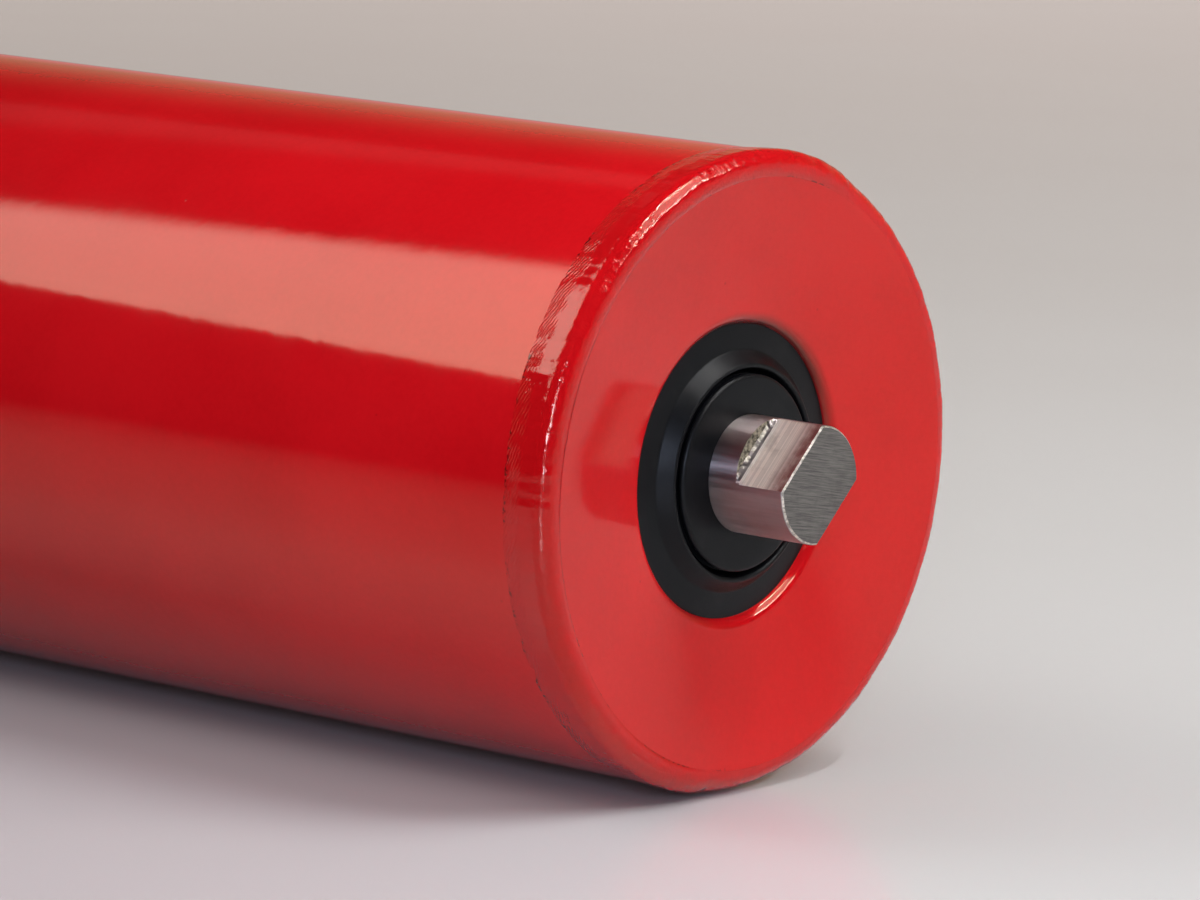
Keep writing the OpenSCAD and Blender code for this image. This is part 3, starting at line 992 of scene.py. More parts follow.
@dataclass(frozen=True)
class WeldBead:
    """The fillet weld round one end, a rounded nose with a lapped run back along the tube."""

    crest_r: float = 54.5
    crest_at: float = 2.4
    nose_r: float = 2.96
    toe: float = 0.35
    dish: float = DISH
    dish_r: float = 49.25
    run: float = 6.65
    rise: float = 0.56
    slim_middle: float = -18.0
    lump: float = 0.16
    joint_at: float = 1.4
    joint_r: float = 49.7
    around: int = 1200
    across: int = 64
    slim: SlimSection = SlimSection()

    def full_section(self, bench: Bench, given: dict[str, Num], ring: Any, toe: Num, nose: Num, run: Num,
                     on_toe: Num) -> tuple[Num, Num, Num, Num]:
        """Adds the nodes of the bead's full section: the coat's fillet, the nose and the run.

        Args:
            bench: The tree to fill.
            given: The tree's inputs by name.
            ring: The place on a ring of radius 1, for the noise.
            toe: Share of the way over the front toe.
            nose: Share of the way round the nose.
            run: Share of the way back along the tube.
            on_toe: Whether the point is on the toe.

        Returns:
            The point's depth behind the face, its radius, and the cosine and sine of its angle on the nose.
        """
        # The coat's fillet in the corner between the dished face and the nose, which thins out in places.
        # Along the face and off it are the two ways of the sum.
        thin = bench.noise(ring, 7.0, 4.0, 0.7)
        fillet = bench.remap(thin, 0.36, 0.6, 0.2, 1.0) * given["Toe fillet"]
        centre_r = given["Crest radius"] - given["Nose radius"]
        lean_sin, lean_cos = bench.math("SINE", given["Dish slope"]), bench.math("COSINE", given["Dish slope"])
        over = centre_r - given["Dish radius"]
        deep = given["Crest depth"] * lean_cos + over * lean_sin
        far = over * lean_cos - given["Crest depth"] * lean_sin
        reach, off = given["Nose radius"] + fillet, deep + fillet
        below = bench.math("SQRT", reach * reach - off * off)
        toe_turn = bench.math("ARCTAN2", below, off)
        first = toe_turn + given["Dish slope"]
        # The nose, flatter in places on its bend, and the run
        angle = nose * (first + math.pi / 2) - first
        cosine, sine = bench.math("COSINE", angle), bench.math("SINE", angle)
        flats = bench.noise(ring, 14.0, 3.0, 0.6)
        flatter = bench.remap(angle, 0.25, 0.72) * bench.remap(angle, 1.19, 0.72)
        flatter = flatter * bench.remap(flats, 0.36, 0.64, 0.006, 0.027)
        nose_r = given["Nose radius"] * (1.0 - flatter)
        depth = given["Run"] * run + (given["Crest depth"] - nose_r * cosine)
        radius = nose_r * sine + centre_r - given["Rise"] * (run * run)
        # The fillet's own arc
        swing = toe * toe_turn
        along = far - below + fillet * bench.math("SINE", swing)
        rise = fillet * (1.0 - bench.math("COSINE", swing))
        fillet_depth = -(along * lean_sin + rise * lean_cos)
        fillet_r = given["Dish radius"] + (along * lean_cos - rise * lean_sin)
        return on_toe * (fillet_depth - depth) + depth, on_toe * (fillet_r - radius) + radius, cosine, sine

    def tree(self) -> bpy.types.NodeTree:
        """Builds the bead's Geometry Nodes tree.

        Returns:
            The tree, with its sizes as named inputs in metres.
        """
        tree = geometry_group("Lapped weld bead", self.inputs())
        bench = Bench(tree)
        given = bench.outputs("NodeGroupInput")
        grid = bench.add("GeometryNodeMeshGrid", {"Size X": 1.0, "Size Y": 1.0, "Vertices X": given["Steps across"],
                                                  "Vertices Y": given["Steps round"]})
        u, v, _ = bench.separate(bench.outputs("GeometryNodeInputPosition")["Position"])
        across = u + 0.5
        turn = (v + 0.5) * (2.0 * math.pi)
        toe = bench.share(across, 0.0, TOE_END)
        nose = bench.share(across, TOE_END, NOSE_END)
        run = bench.share(across, NOSE_END, RUN_END)
        back = bench.share(across, RUN_END, 1.0)
        on_toe = bench.math("LESS_THAN", across, TOE_END - 0.0001)
        ring = bench.combine(bench.math("COSINE", turn), bench.math("SINE", turn), given["Seed"])
        depth, radius, cosine, sine = self.full_section(bench, given, ring, toe, nose, run, on_toe)
        # The slimmer section over part of the way round
        slim_depth, slim_r = self.slim.section(bench, toe, nose, run, on_toe)
        swell = bench.noise(ring, 5.0, 3.0, 0.6)
        facing = (swell - 0.5) * 0.5 + bench.math("COSINE", turn - given["Slim middle"])
        slim = bench.remap(facing, -0.12, 0.3)
        depth = slim * (slim_depth - depth) + depth
        radius = slim * (slim_r - radius) + radius
        # Lumps along the crest
        lump = bench.remap(bench.noise(ring, 9.0, 3.0, 0.6), 0.3, 0.7) * given["Lump height"]
        drop = -(lump * (bench.remap(nose, 0.0, 0.25) * bench.remap(run, 1.0, 0.75)))
        radius = drop * bench.math("MAXIMUM", sine, 0.0) + radius
        depth = depth - drop * cosine
        # The hidden way back from the rear toe to the front one, inside the joint
        depth = back * (self.joint_at * MM - depth) + depth
        radius = back * (self.joint_r * MM - radius) + radius
        x = given["Facing"] * (given["Face"] - depth)
        where = bench.combine(x, radius * bench.math("COSINE", turn), radius * bench.math("SINE", turn))
        kept = bench.add("GeometryNodeStoreNamedAttribute",
                         {"Geometry": grid.outputs["Mesh"], "Name": LAY, "Value": bench.combine(turn, across)},
                         data_type="FLOAT_VECTOR", domain="POINT")
        placed = bench.add("GeometryNodeSetPosition", {"Geometry": kept.outputs[0], "Position": where})
        closed = bench.add("GeometryNodeMergeByDistance", {"Geometry": placed.outputs[0], "Distance": 1e-6})
        smooth = bench.add("GeometryNodeSetShadeSmooth", {"Geometry": closed.outputs[0], "Shade Smooth": True})
        bench.hand_over(smooth.outputs[0], given["Finish"])
        return tree

    def inputs(self) -> dict[str, Any]:
        """Gives the tree's inputs.

        Returns:
            Their defaults by name, 0.0 where build() gives the value.
        """
        return {
            "Steps round": self.around + 1, "Steps across": self.across + 1,
            "Facing": 0.0, "Face": 0.0, "Seed": 0.0,
            "Crest radius": self.crest_r * MM, "Crest depth": self.crest_at * MM,
            "Nose radius": self.nose_r * MM, "Toe fillet": self.toe * MM,
            "Run": self.run * MM, "Rise": self.rise * MM,
            "Dish slope": math.radians(self.dish), "Dish radius": self.dish_r * MM,
            "Slim middle": math.radians(self.slim_middle), "Lump height": self.lump * MM,
        }

    def build(self, end: End, face_at: float, finish: bpy.types.Material) -> None:
        """Makes the bead at one end.

        Args:
            end: Which end it goes round.
            face_at: Distance of the housing's face from the middle, in metres.
            finish: The enamel.
        """
        made = grown(f"{end.title}_lapped_bead", self.tree(),
                     {"Facing": float(end.value), "Face": face_at, "Finish": finish,
                      "Seed": 4.0 + 3.0 * end.value})
        dress(made, None, "shell", "red_enamel", f"{end.title}_weld_bead")


def grown(name: str, tree: bpy.types.NodeTree, sizes: dict[str, Any]) -> bpy.types.Object:
    """Runs a Geometry Nodes tree once and keeps its result as a plain mesh.

    Args:
        name: The piece's name.
        tree: The tree.
        sizes: Values for its named inputs.

    Returns:
        The object, with no modifier, its faces pointing outwards.
    """
    host = link(name, bpy.data.meshes.new(name))
    modifier = host.modifiers.new("Grow", "NODES")
    modifier.node_group = tree
    sockets = {item.name: item.identifier for item in tree.interface.items_tree
               if item.item_type == "SOCKET" and item.in_out == "INPUT"}
    for title, value in sizes.items():
        modifier[sockets[title]] = value
    host.update_tag()
    bpy.context.view_layer.update()
    mesh = bpy.data.meshes.new_from_object(host.evaluated_get(bpy.context.evaluated_depsgraph_get()))
    mesh.name = name
    host.modifiers.clear()
    host.data = mesh
    shape = bmesh.new()
    shape.from_mesh(mesh)
    bmesh.ops.recalc_face_normals(shape, faces=shape.faces)
    shape.to_mesh(mesh)
    shape.free()
    return host


def dress(piece: bpy.types.Object, finish: bpy.types.Material | None, body: str, slot: str, *nodes: str) -> None:
    """Gives a piece its finish and ties it to the frame.

    Args:
        piece: The piece.
        finish: Its material, or nothing where it has one already.
        body: The body that it rides on.
        slot: A material slot's name; not used.
        nodes: The CAD nodes that it stands for.
    """
    if finish is not None:
        piece.data.materials.clear()
        piece.data.materials.append(finish)
    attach(piece, body)
    if nodes:
        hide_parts(*nodes)
    LOG.info("%s: %d faces on %s", piece.name, len(piece.data.polygons), body)


# ---------------------------------------------------------------- the seals


@dataclass(frozen=True)
class LabyrinthSeal:
    """The two rings of one labyrinth seal: the turning cover and the fixed core."""

    seal_r: float = SEAL_R
    seal_at: float = 4.9
    edge_r: float = 24.95
    edge_deep: float = 0.5
    dish: float = 0.4
    cone_r: float = 20.5
    lip_r: float = 17.6
    lip_at: float = 2.1
    wall: float = 1.1
    sleeve: float = 1.6
    gap: float = 0.7
    disc_r: float = 16.7
    disc_at: float = 1.6
    disc_t: float = 1.4
    bevel: float = 0.15
    shaft_r: float = 10.0
    clip_at: float = CLIP_AT

    @property
    def cone_wall_r(self) -> float:
        """Outer radius of the wall behind the cone's lip."""
        return self.lip_r + self.wall

    @property
    def sleeve_r(self) -> float:
        """Inner radius of the sleeve that sits in the housing."""
        return self.seal_r - self.sleeve

    @property
    def tongue(self) -> float:
        """Thickness of each tongue between the two walls."""
        return (self.sleeve_r - self.cone_wall_r - 3.0 * self.gap) / 2.0

    @property
    def floor_at(self) -> float:
        """Depth of the turning ring's web at its back."""
        return self.seal_at + self.sleeve

    @property
    def web_end(self) -> float:
        """Depth at which the fixed ring's web ends."""
        return self.clip_at - self.gap / 2.0

    def cover_outline(self) -> list[Point]:
        """Gives the turning ring's closed section: dished band, cone with a rounded lip, tongue and sleeve.

        Returns:
            Corners as depth behind the face and radius, in millimetres.
        """
        lip = self.wall / 2.0
        centre = (self.lip_at + lip, self.lip_r + lip)
        foot = (self.seal_at - self.dish, self.cone_r)
        aim = math.atan2(foot[1] - centre[1], foot[0] - centre[0])
        touch = math.degrees(aim + math.acos(lip / math.dist(centre, foot)))
        edge = (centre[0] + lip * math.cos(math.radians(touch)), centre[1] + lip * math.sin(math.radians(touch)))
        tip = self.web_end - self.wall - self.gap
        tongue_r = self.cone_wall_r + self.tongue + 2.0 * self.gap
        return [
            (self.seal_at + self.edge_deep, self.seal_r), (self.seal_at + self.edge_deep, self.edge_r - 0.13),
            (self.seal_at + 0.1, self.edge_r - 0.02), (self.seal_at + 0.02, self.edge_r - 0.08),
            *rounded(((self.seal_at, self.edge_r - 0.2), foot, edge), 0.8, 6),
            *arc(centre, lip, touch, 270, 12),
            (tip, self.lip_r), (tip, self.cone_wall_r), (self.floor_at, self.cone_wall_r), (self.floor_at, tongue_r),
            (tip, tongue_r), (tip, tongue_r + self.tongue), (self.floor_at, tongue_r + self.tongue),
            (self.floor_at, self.sleeve_r), (self.web_end, self.sleeve_r), (self.web_end, self.seal_r - lip),
            (self.web_end - lip, self.seal_r),
        ]

    def core_outline(self) -> list[Point]:
        """Gives the fixed ring's closed section: disc with a round rim, hub, web and two tongues.

        Returns:
            Corners as depth behind the face and radius, in millimetres.
        """
        rim = self.disc_t / 2.0
        hub_r = self.shaft_r + self.sleeve
        web = self.web_end - self.wall
        under = self.disc_at + self.disc_t
        inner = self.disc_r - self.wall
        fixed_r = self.cone_wall_r + self.gap
        tip = self.floor_at + self.gap
        bevelled = (self.disc_at, self.shaft_r + self.bevel)
        return [
            (self.disc_at + self.bevel, self.shaft_r), *line(bevelled, (self.disc_at, self.disc_r - rim), 4),
            *arc((self.disc_at + rim, self.disc_r - rim), rim, 180, 0, 12),
            (under, hub_r), (web, hub_r), (web, inner), (under + self.gap, inner),
            (under + self.gap, self.disc_r), (web, self.disc_r), (web, fixed_r), (tip, fixed_r),
            (tip, fixed_r + self.tongue), (web, fixed_r + self.tongue), (web, self.sleeve_r - self.gap),
            (self.web_end, self.sleeve_r - self.gap), (self.web_end, hub_r), (self.clip_at, hub_r),
            (self.clip_at, self.shaft_r),
        ]

    def build(self, end: End, face_at: float, finish: bpy.types.Material) -> None:
        """Makes both rings of one seal.

        Args:
            end: Which end they seal.
            face_at: Distance of the housing's face from the middle, in metres.
            finish: The plastic.
        """
        cover = turned(f"{end.title}_seal_ring", self.cover_outline(), end, face_at)
        dress(cover, finish, "shell", "black_plastic", f"{end.title}_seal_cover")
        core = turned(f"{end.title}_seal_disc", self.core_outline(), end, face_at)
        dress(core, finish, "axle", "black_plastic", f"{end.title}_seal_core")


def rounded(corners: Sequence[Point], radius: float, steps: int) -> list[Point]:
    """Gives a path through three points with its middle corner rounded.

    Args:
        corners: Start, corner and end.
        radius: Radius of the rounding.
        steps: Steps along the rounding.

    Returns:
        The path's points.
    """
    start, corner, end = (Vector(point) for point in corners)
    to_start, to_end = (start - corner).normalized(), (end - corner).normalized()
    half = to_start.angle(to_end) / 2.0
    back = radius / math.tan(half)
    points = [start]
    for i in range(steps + 1):
        t = i / steps
        a, b = corner + to_start * back * (1.0 - t), corner + to_end * back * t
        points.append(a.lerp(b, t))
    points.append(end)
    return [(point.x, point.y) for point in points]


# ---------------------------------------------------------------- the shaft


@dataclass(frozen=True)
class SpannerShaft:
    """The fixed shaft: a bright bar with two milled flats, a chamfer and a circlip groove at each end."""

    radius: float = 10.0
    flat: float = 7.0
    flat_len: float = 10.0
    turn: float = 45.0
    chamfer: float = 0.35
    bevel: float = 0.26
    groove_r: float = 9.5
    groove_from: float = CLIP_AT
    groove_to: float = 13.0
    out: float = 14.0
    round_steps: int = 56
    flat_steps: int = 36

    @property
    def first_flat(self) -> float:
        """Turn of the first flat's middle, from +Y towards +Z, in radians."""
        return math.radians(90.0 + self.turn)

    def section_turns(self) -> list[tuple[float, bool]]:
        """Gives the turns round the bar at which its section has points.

        Returns:
            Angle from +Y towards +Z in radians, and whether the point lies on a flat.
        """
        half = math.acos(self.flat / self.radius)
        turns: list[tuple[float, bool]] = []
        for face in range(2):
            middle = self.first_flat + face * math.pi
            width = self.flat * math.tan(half)
            for i in range(self.flat_steps + 1):
                across = -width + 2.0 * width * i / self.flat_steps
                turns.append((middle + math.atan2(across, self.flat), True))
            start, stop = middle + half, middle + math.pi - half
            turns += [(start + (stop - start) * i / self.round_steps, False) for i in range(1, self.round_steps)]
        return turns

    def at(self, turn: float, on_flat: bool, limit: float, flat_at: float) -> float:
        """Gives the bar's radius at one turn.

        Args:
            turn: The turn in radians.
            on_flat: Whether the point is within a flat's width.
            limit: The round radius here.
            flat_at: How far the flats lie from the bar's line here.

        Returns:
            The radius in millimetres.
        """
        if not on_flat:
            return limit
        off = (turn - self.first_flat + math.pi / 2.0) % math.pi - math.pi / 2.0
        return min(limit, flat_at / math.cos(off))

    def build(self, face_at: float, finishes: dict[BarFace, bpy.types.Material]) -> None:
        """Makes the shaft.

        Args:
            face_at: Distance of the housings' faces from the middle, in metres.
            finishes: The steel for each kind of surface.
        """
        turns = self.section_turns()
        face = face_at / MM
        tip = face + self.out
        step_at = tip - self.flat_len
        shape = bmesh.new()
        rings = [self.ring(shape, turns, *station) for station in self.stations(tip, step_at, face)]
        self.skin(shape, rings)
        made = finish_mesh("spanner_shaft", shape, 20.0)
        for kind in BarFace:
            made.data.materials.append(finishes[kind])
        self.sort_faces(made, tip, step_at)
        dress(made, None, "axle", "bright_steel", "shaft")

    def ring(self, shape: bmesh.types.BMesh, turns: Iterable[tuple[float, bool]], x: float, limit: float,
             flat_at: float, ragged: float, lip: float) -> list[bmesh.types.BMVert]:
        """Adds one ring of points at a distance along the bar.

        Args:
            shape: The shape to add to.
            turns: The section's turns, as from section_turns().
            x: The distance from the middle.
            limit: The round radius here.
            flat_at: How far the flats lie from the bar's line here.
            ragged: How far the points on the flats stray along the bar.
            lip: How far a burr stands up on the flats.

        Returns:
            The points.
        """
        made = []
        for turn, on_flat in turns:
            radius = self.at(turn, on_flat, limit, flat_at)
            shift = 0.0
            if on_flat and (ragged or lip):
                seed = Vector((radius * math.cos(turn), radius * math.sin(turn), abs(x) * 0.2)) * 1.7
                shift = ragged * noise.fractal(seed, 0.7, 2.2, 4)
                radius += lip * max(0.0, noise.fractal(seed * 1.9, 0.6, 2.1, 3) + 0.35)
            made.append(shape.verts.new(((x + math.copysign(shift, x)) * MM, radius * MM * math.cos(turn),
                                         radius * MM * math.sin(turn))))
        return made

    def stations(self, tip: float, step_at: float, face: float) -> list[tuple[float, float, float, float, float]]:
        """Gives the rings along the bar, all in millimetres.

        Args:
            tip: Distance of the shaft's end from the middle.
            step_at: Distance at which the flats begin.
            face: Distance of the housing's face.

        Returns:
            Distance, round radius, the flats' distance from the bar's line, raggedness and burr of each ring.
        """
        r, c, f, b = self.radius, self.chamfer, self.flat, self.bevel
        clear = r + 1.0
        span = self.flat_len - c - 2.0
        flats = [
            (tip, r - c, f - b, 0.0, 0.06), (tip - b, r - c + b, f, 0.0, 0.09), (tip - c, r, f, 0.0, 0.0),
            *[(tip - c - i * span / 8.0, r, f, 0.0, 0.0) for i in range(1, 9)],
        ]
        run_out = [(step_at + before, r, f + rise, ragged, lip) for before, rise, ragged, lip in (
            (1.3, 0.06, 0.05, 0.0), (0.8, 0.3, 0.1, 0.0), (0.45, 0.7, 0.12, 0.05), (0.2, 1.3, 0.15, 0.14),
            (0.08, 1.1, 0.12, 0.05))]
        shoulder = [(step_at - past, r, clear, ragged, lip) for past, ragged, lip in (
            (0.05, 0.2, 0.0), (0.3, 0.12, 0.03), (0.7, 0.0, 0.0))]
        bar = [(face - deep, radius, clear, 0.0, 0.0) for deep, radius in (
            (2.0, r), (self.groove_from, r), (self.groove_from, self.groove_r), (self.groove_to, self.groove_r),
            (self.groove_to, r))]
        middle = [(x, r, clear, 0.0, 0.0) for x, _ in line((120.0, 0.0), (0.0, 0.0), 6)]
        half = flats + run_out + shoulder + bar + middle
        return half + [(-x, *rest) for x, *rest in reversed(half[:-1])]

    @staticmethod
    def skin(shape: bmesh.types.BMesh, rings: list[list[bmesh.types.BMVert]]) -> None:
        """Joins the rings with faces and closes both ends with rings that shrink to a point.

        Args:
            shape: The shape to add to.
            rings: The rings from end to end.
        """
        count = len(rings[0])
        for here, there in zip(rings, rings[1:]):
            for i in range(count):
                j = (i + 1) % count
                shape.faces.new((here[i], there[i], there[j], here[j]))
        for ring in (rings[0], rings[-1]):
            outer = ring
            for share in (0.75, 0.5, 0.25):
                inner = [shape.verts.new((v.co.x, v.co.y * share, v.co.z * share)) for v in ring]
                for i in range(count):
                    j = (i + 1) % count
                    shape.faces.new((outer[i], outer[j], inner[j], inner[i]))
                outer = inner
            centre = shape.verts.new((ring[0].co.x, 0.0, 0.0))
            for i in range(count):
                shape.faces.new((outer[i], outer[(i + 1) % count], centre))

    def sort_faces(self, made: bpy.types.Object, tip: float, step_at: float) -> None:
        """Gives each face the steel of its kind of surface.

        Args:
            made: The shaft.
            tip: Distance of the shaft's end from the middle, in millimetres.
            step_at: Distance at which the flats begin.
        """
        normal = Vector((0.0, math.cos(self.first_flat), math.sin(self.first_flat)))
        for face in made.data.polygons:
            x, upright = abs(face.center.x) / MM, abs(face.normal.dot(normal))
            cut = math.hypot(face.center.y, face.center.z) / MM < self.radius - 0.02
            if abs(face.normal.x) > 0.95 and x > tip - 0.1:
                kind = BarFace.SAWN
            elif x > tip - self.bevel or (step_at + 0.1 < x < step_at + 0.36 and cut):
                kind = BarFace.BURR
            elif step_at - 0.3 < x < step_at + 0.15 and cut:
                kind = BarFace.WALL
            elif x > step_at - 0.05 and upright > 0.8:
                kind = BarFace.MILLED
            else:
                kind = BarFace.DRAWN
            face.material_index = kind.value


# ---------------------------------------------------------------- the bearings


@dataclass(frozen=True)
class RoundPart:
    """A part that a bearing has several of, set on its pitch circle by a Geometry Nodes tree."""

    pitch_r: float
    count: int
    offset: float

    def tree(self, name: str, outline: Sequence[Point], steps: int) -> bpy.types.NodeTree:
        """Builds the tree that repeats one part round the pitch circle.

        Args:
            name: The tree's name.
            outline: Half section of the part from pole to pole, as place along its line and radius, in millimetres.
            steps: Number of steps round the part.

        Returns:
            The tree.
        """
        one = bpy.data.objects.new(name + " pattern", self.lathe(name, outline, steps))
        tree = geometry_group(name, {"Pitch radius": self.pitch_r * MM, "Count": self.count,
                                     "Offset": math.radians(self.offset), "Middle": 0.0})
        bench = Bench(tree)
        given = bench.outputs("NodeGroupInput")
        points = bench.add("GeometryNodePoints", {"Count": given["Count"]})
        index = bench.outputs("GeometryNodeInputIndex")["Index"]
        turn = index * (2.0 * math.pi / given["Count"]) + given["Offset"]
        where = bench.combine(given["Middle"], bench.math("COSINE", turn) * given["Pitch radius"],
                              bench.math("SINE", turn) * given["Pitch radius"])
        placed = bench.add("GeometryNodeSetPosition", {"Geometry": points.outputs[0], "Position": where})
        pattern = bench.add("GeometryNodeObjectInfo", {"Object": one})
        copies = bench.add("GeometryNodeInstanceOnPoints", {"Points": placed.outputs[0],
                                                            "Instance": pattern.outputs["Geometry"]})
        bench.hand_over(copies.outputs[0], given["Finish"])
        return tree

    @staticmethod
    def lathe(name: str, outline: Sequence[Point], steps: int) -> bpy.types.Mesh:
        """Turns a pole-to-pole half section about the X axis.

        Args:
            name: The mesh's name.
            outline: The half section, in millimetres.
            steps: Number of steps round.

        Returns:
            The mesh, smooth with its sharp edges marked.
        """
        shape = bmesh.new()
        rows = [[shape.verts.new((x * MM, r * MM * math.cos(2 * math.pi * i / steps),
                                  r * MM * math.sin(2 * math.pi * i / steps))) for i in range(steps)]
                for x, r in outline[1:-1]]
        poles = [shape.verts.new((outline[0][0] * MM, 0.0, 0.0)), shape.verts.new((outline[-1][0] * MM, 0.0, 0.0))]
        for i in range(steps):
            j = (i + 1) % steps
            shape.faces.new((poles[0], rows[0][j], rows[0][i]))
            shape.faces.new((poles[1], rows[-1][i], rows[-1][j]))
            for here, there in zip(rows, rows[1:]):
                shape.faces.new((here[i], here[j], there[j], there[i]))
        made = finish_mesh(name + "_one", shape)
        mesh = made.data
        bpy.data.objects.remove(made)
        return mesh


@dataclass(frozen=True)
class BallBearing:
    """One deep-groove ball bearing: rings, balls and a riveted ribbon cage."""

    pitch_r: float = 16.75
    ball_r: float = 3.969
    count: int = 8
    strip: float = 0.8
    rivet_r: float = 0.75
    head_r: float = 1.2
    middle_at: float = 20.0

    def ball_outline(self) -> list[Point]:
        """Gives a ball's half section, from pole to pole."""
        return arc((0.0, 0.0), self.ball_r, 180, 0, 24)

    def rivet_outline(self) -> list[Point]:
        """Gives a rivet's half section, a shank with a domed head at each end.

        Returns:
            Corners as place along its line and radius, in millimetres.
        """
        dome_h = self.head_r / 2.0
        dome = (self.head_r ** 2 + dome_h ** 2) / (2.0 * dome_h)
        reach = math.degrees(math.asin(self.head_r / dome))
        top = self.strip + dome_h - dome
        left = arc((-top, 0.0), dome, 180, 180 - reach, 5)
        return [*left, (-self.strip, self.rivet_r), (self.strip, self.rivet_r), *[(-x, r) for x, r in reversed(left)]]

    def build(self, end: End, face_at: float, finishes: dict[str, bpy.types.Material]) -> None:
        """Makes one bearing's balls and rivets, and dresses the CAD nodes of its rings and cage.

        Args:
            end: Which end it belongs to.
            face_at: Distance of the housing's face from the middle, in metres.
            finishes: The finishes by name.
        """
        side, body = end.title, f"{end.title}_cage"
        middle = end.value * (face_at - self.middle_at * MM)
        start = 0.0 if end is End.RIGHT else 180.0
        for part, outline, steps, offset, slot, finish in (
            ("balls", self.ball_outline(), 48, 0.0, "ball_steel", "ball"),
            ("rivets", self.rivet_outline(), 24, 180.0 / self.count, "cage_steel", "rivet"),
        ):
            tree = RoundPart(self.pitch_r, self.count, start + offset).tree(f"{side} {part}", outline, steps)
            made = grown(f"{side}_bearing_{part}", tree, {"Middle": middle, "Finish": finishes[finish]})
            dress(made, None, body, slot, f"{side}_{part}")
        for node, finish in ((f"{side}_outer_ring", "ring"), (f"{side}_inner_ring", "ring"),
                             (f"{side}_cage_front", "cage"), (f"{side}_cage_back", "cage"),
                             (f"{side}_circlip", "spring"), (f"{side}_rear_seal", "plastic")):
            recoat(node, finishes[finish])


def recoat(node: str, finish: bpy.types.Material) -> None:
    """Gives a CAD node a finish in place of its plain colour.

    Args:
        node: The node's name.
        finish: The finish.
    """
    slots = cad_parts[node].data.materials
    slots.clear()
    slots.append(finish)
    LOG.info("%s: recoated", node)


# ---------------------------------------------------------------- stage


AIM = Vector((0.08, 0.0, 0.0))
"""The place on the roller's line that the lights face."""
CAMERA_FOOT = (0.839, -0.856, 0.0)
"""The place below the camera, at the height of the roller's line."""


def heading(azimuth: float, elevation: float) -> Vector:
    """Gives the direction with an azimuth and an elevation in degrees."""
    az, el = math.radians(azimuth), math.radians(elevation)
    return Vector((math.cos(az) * math.cos(el), math.sin(az) * math.cos(el), math.sin(el)))


@dataclass(frozen=True)
class Panel:
    """A soft light: a lit rectangle that faces the roller."""

    name: str
    azimuth: float
    elevation: float
    distance: float
    width: float
    height: float
    level: float
    colour: Colour = (1.0, 1.0, 1.0)
    shift: Point = (0.0, 0.0)
    low_share: float = 1.0
    soft_side: float = 0.0
    hot_rim: float = 0.0

    def build(self) -> None:
        """Makes the lamp, out of the camera's sight."""
        way = heading(self.azimuth, self.elevation)
        lamp = bpy.data.lights.new(self.name, "AREA")
        lamp.shape = "RECTANGLE"
        lamp.size, lamp.size_y = self.width, self.height
        lamp.energy = self.level * math.pi * self.width * self.height
        lamp.color = self.colour
        if self.soft_side or self.hot_rim:
            bench = Bench.emptied(lamp)
            u, v, _ = bench.separate(bench.outputs("ShaderNodeNewGeometry")["Parametric"])
            fade = bench.remap(u, 0.0, self.soft_side) if self.soft_side else 1.0
            side = bench.share(u, 0.0, 1.0, self.low_share, 1.0)
            hot = bench.remap(bench.math("ABSOLUTE", v - 0.5), 0.455, 0.464, 1.0, 1.0 + self.hot_rim)
            shone = bench.add("ShaderNodeEmission", {"Strength": hot * (side * fade)})
            bench.add("ShaderNodeOutputLight", {"Surface": shone.outputs[0]})
        made = link(self.name, lamp)
        turn = way.to_track_quat("Z", "Y")
        made.location = AIM + way * self.distance + turn @ Vector((*self.shift, 0.0))
        made.rotation_euler = turn.to_euler()
        made.visible_camera = False
        LOG.info("light: %s", self.name)


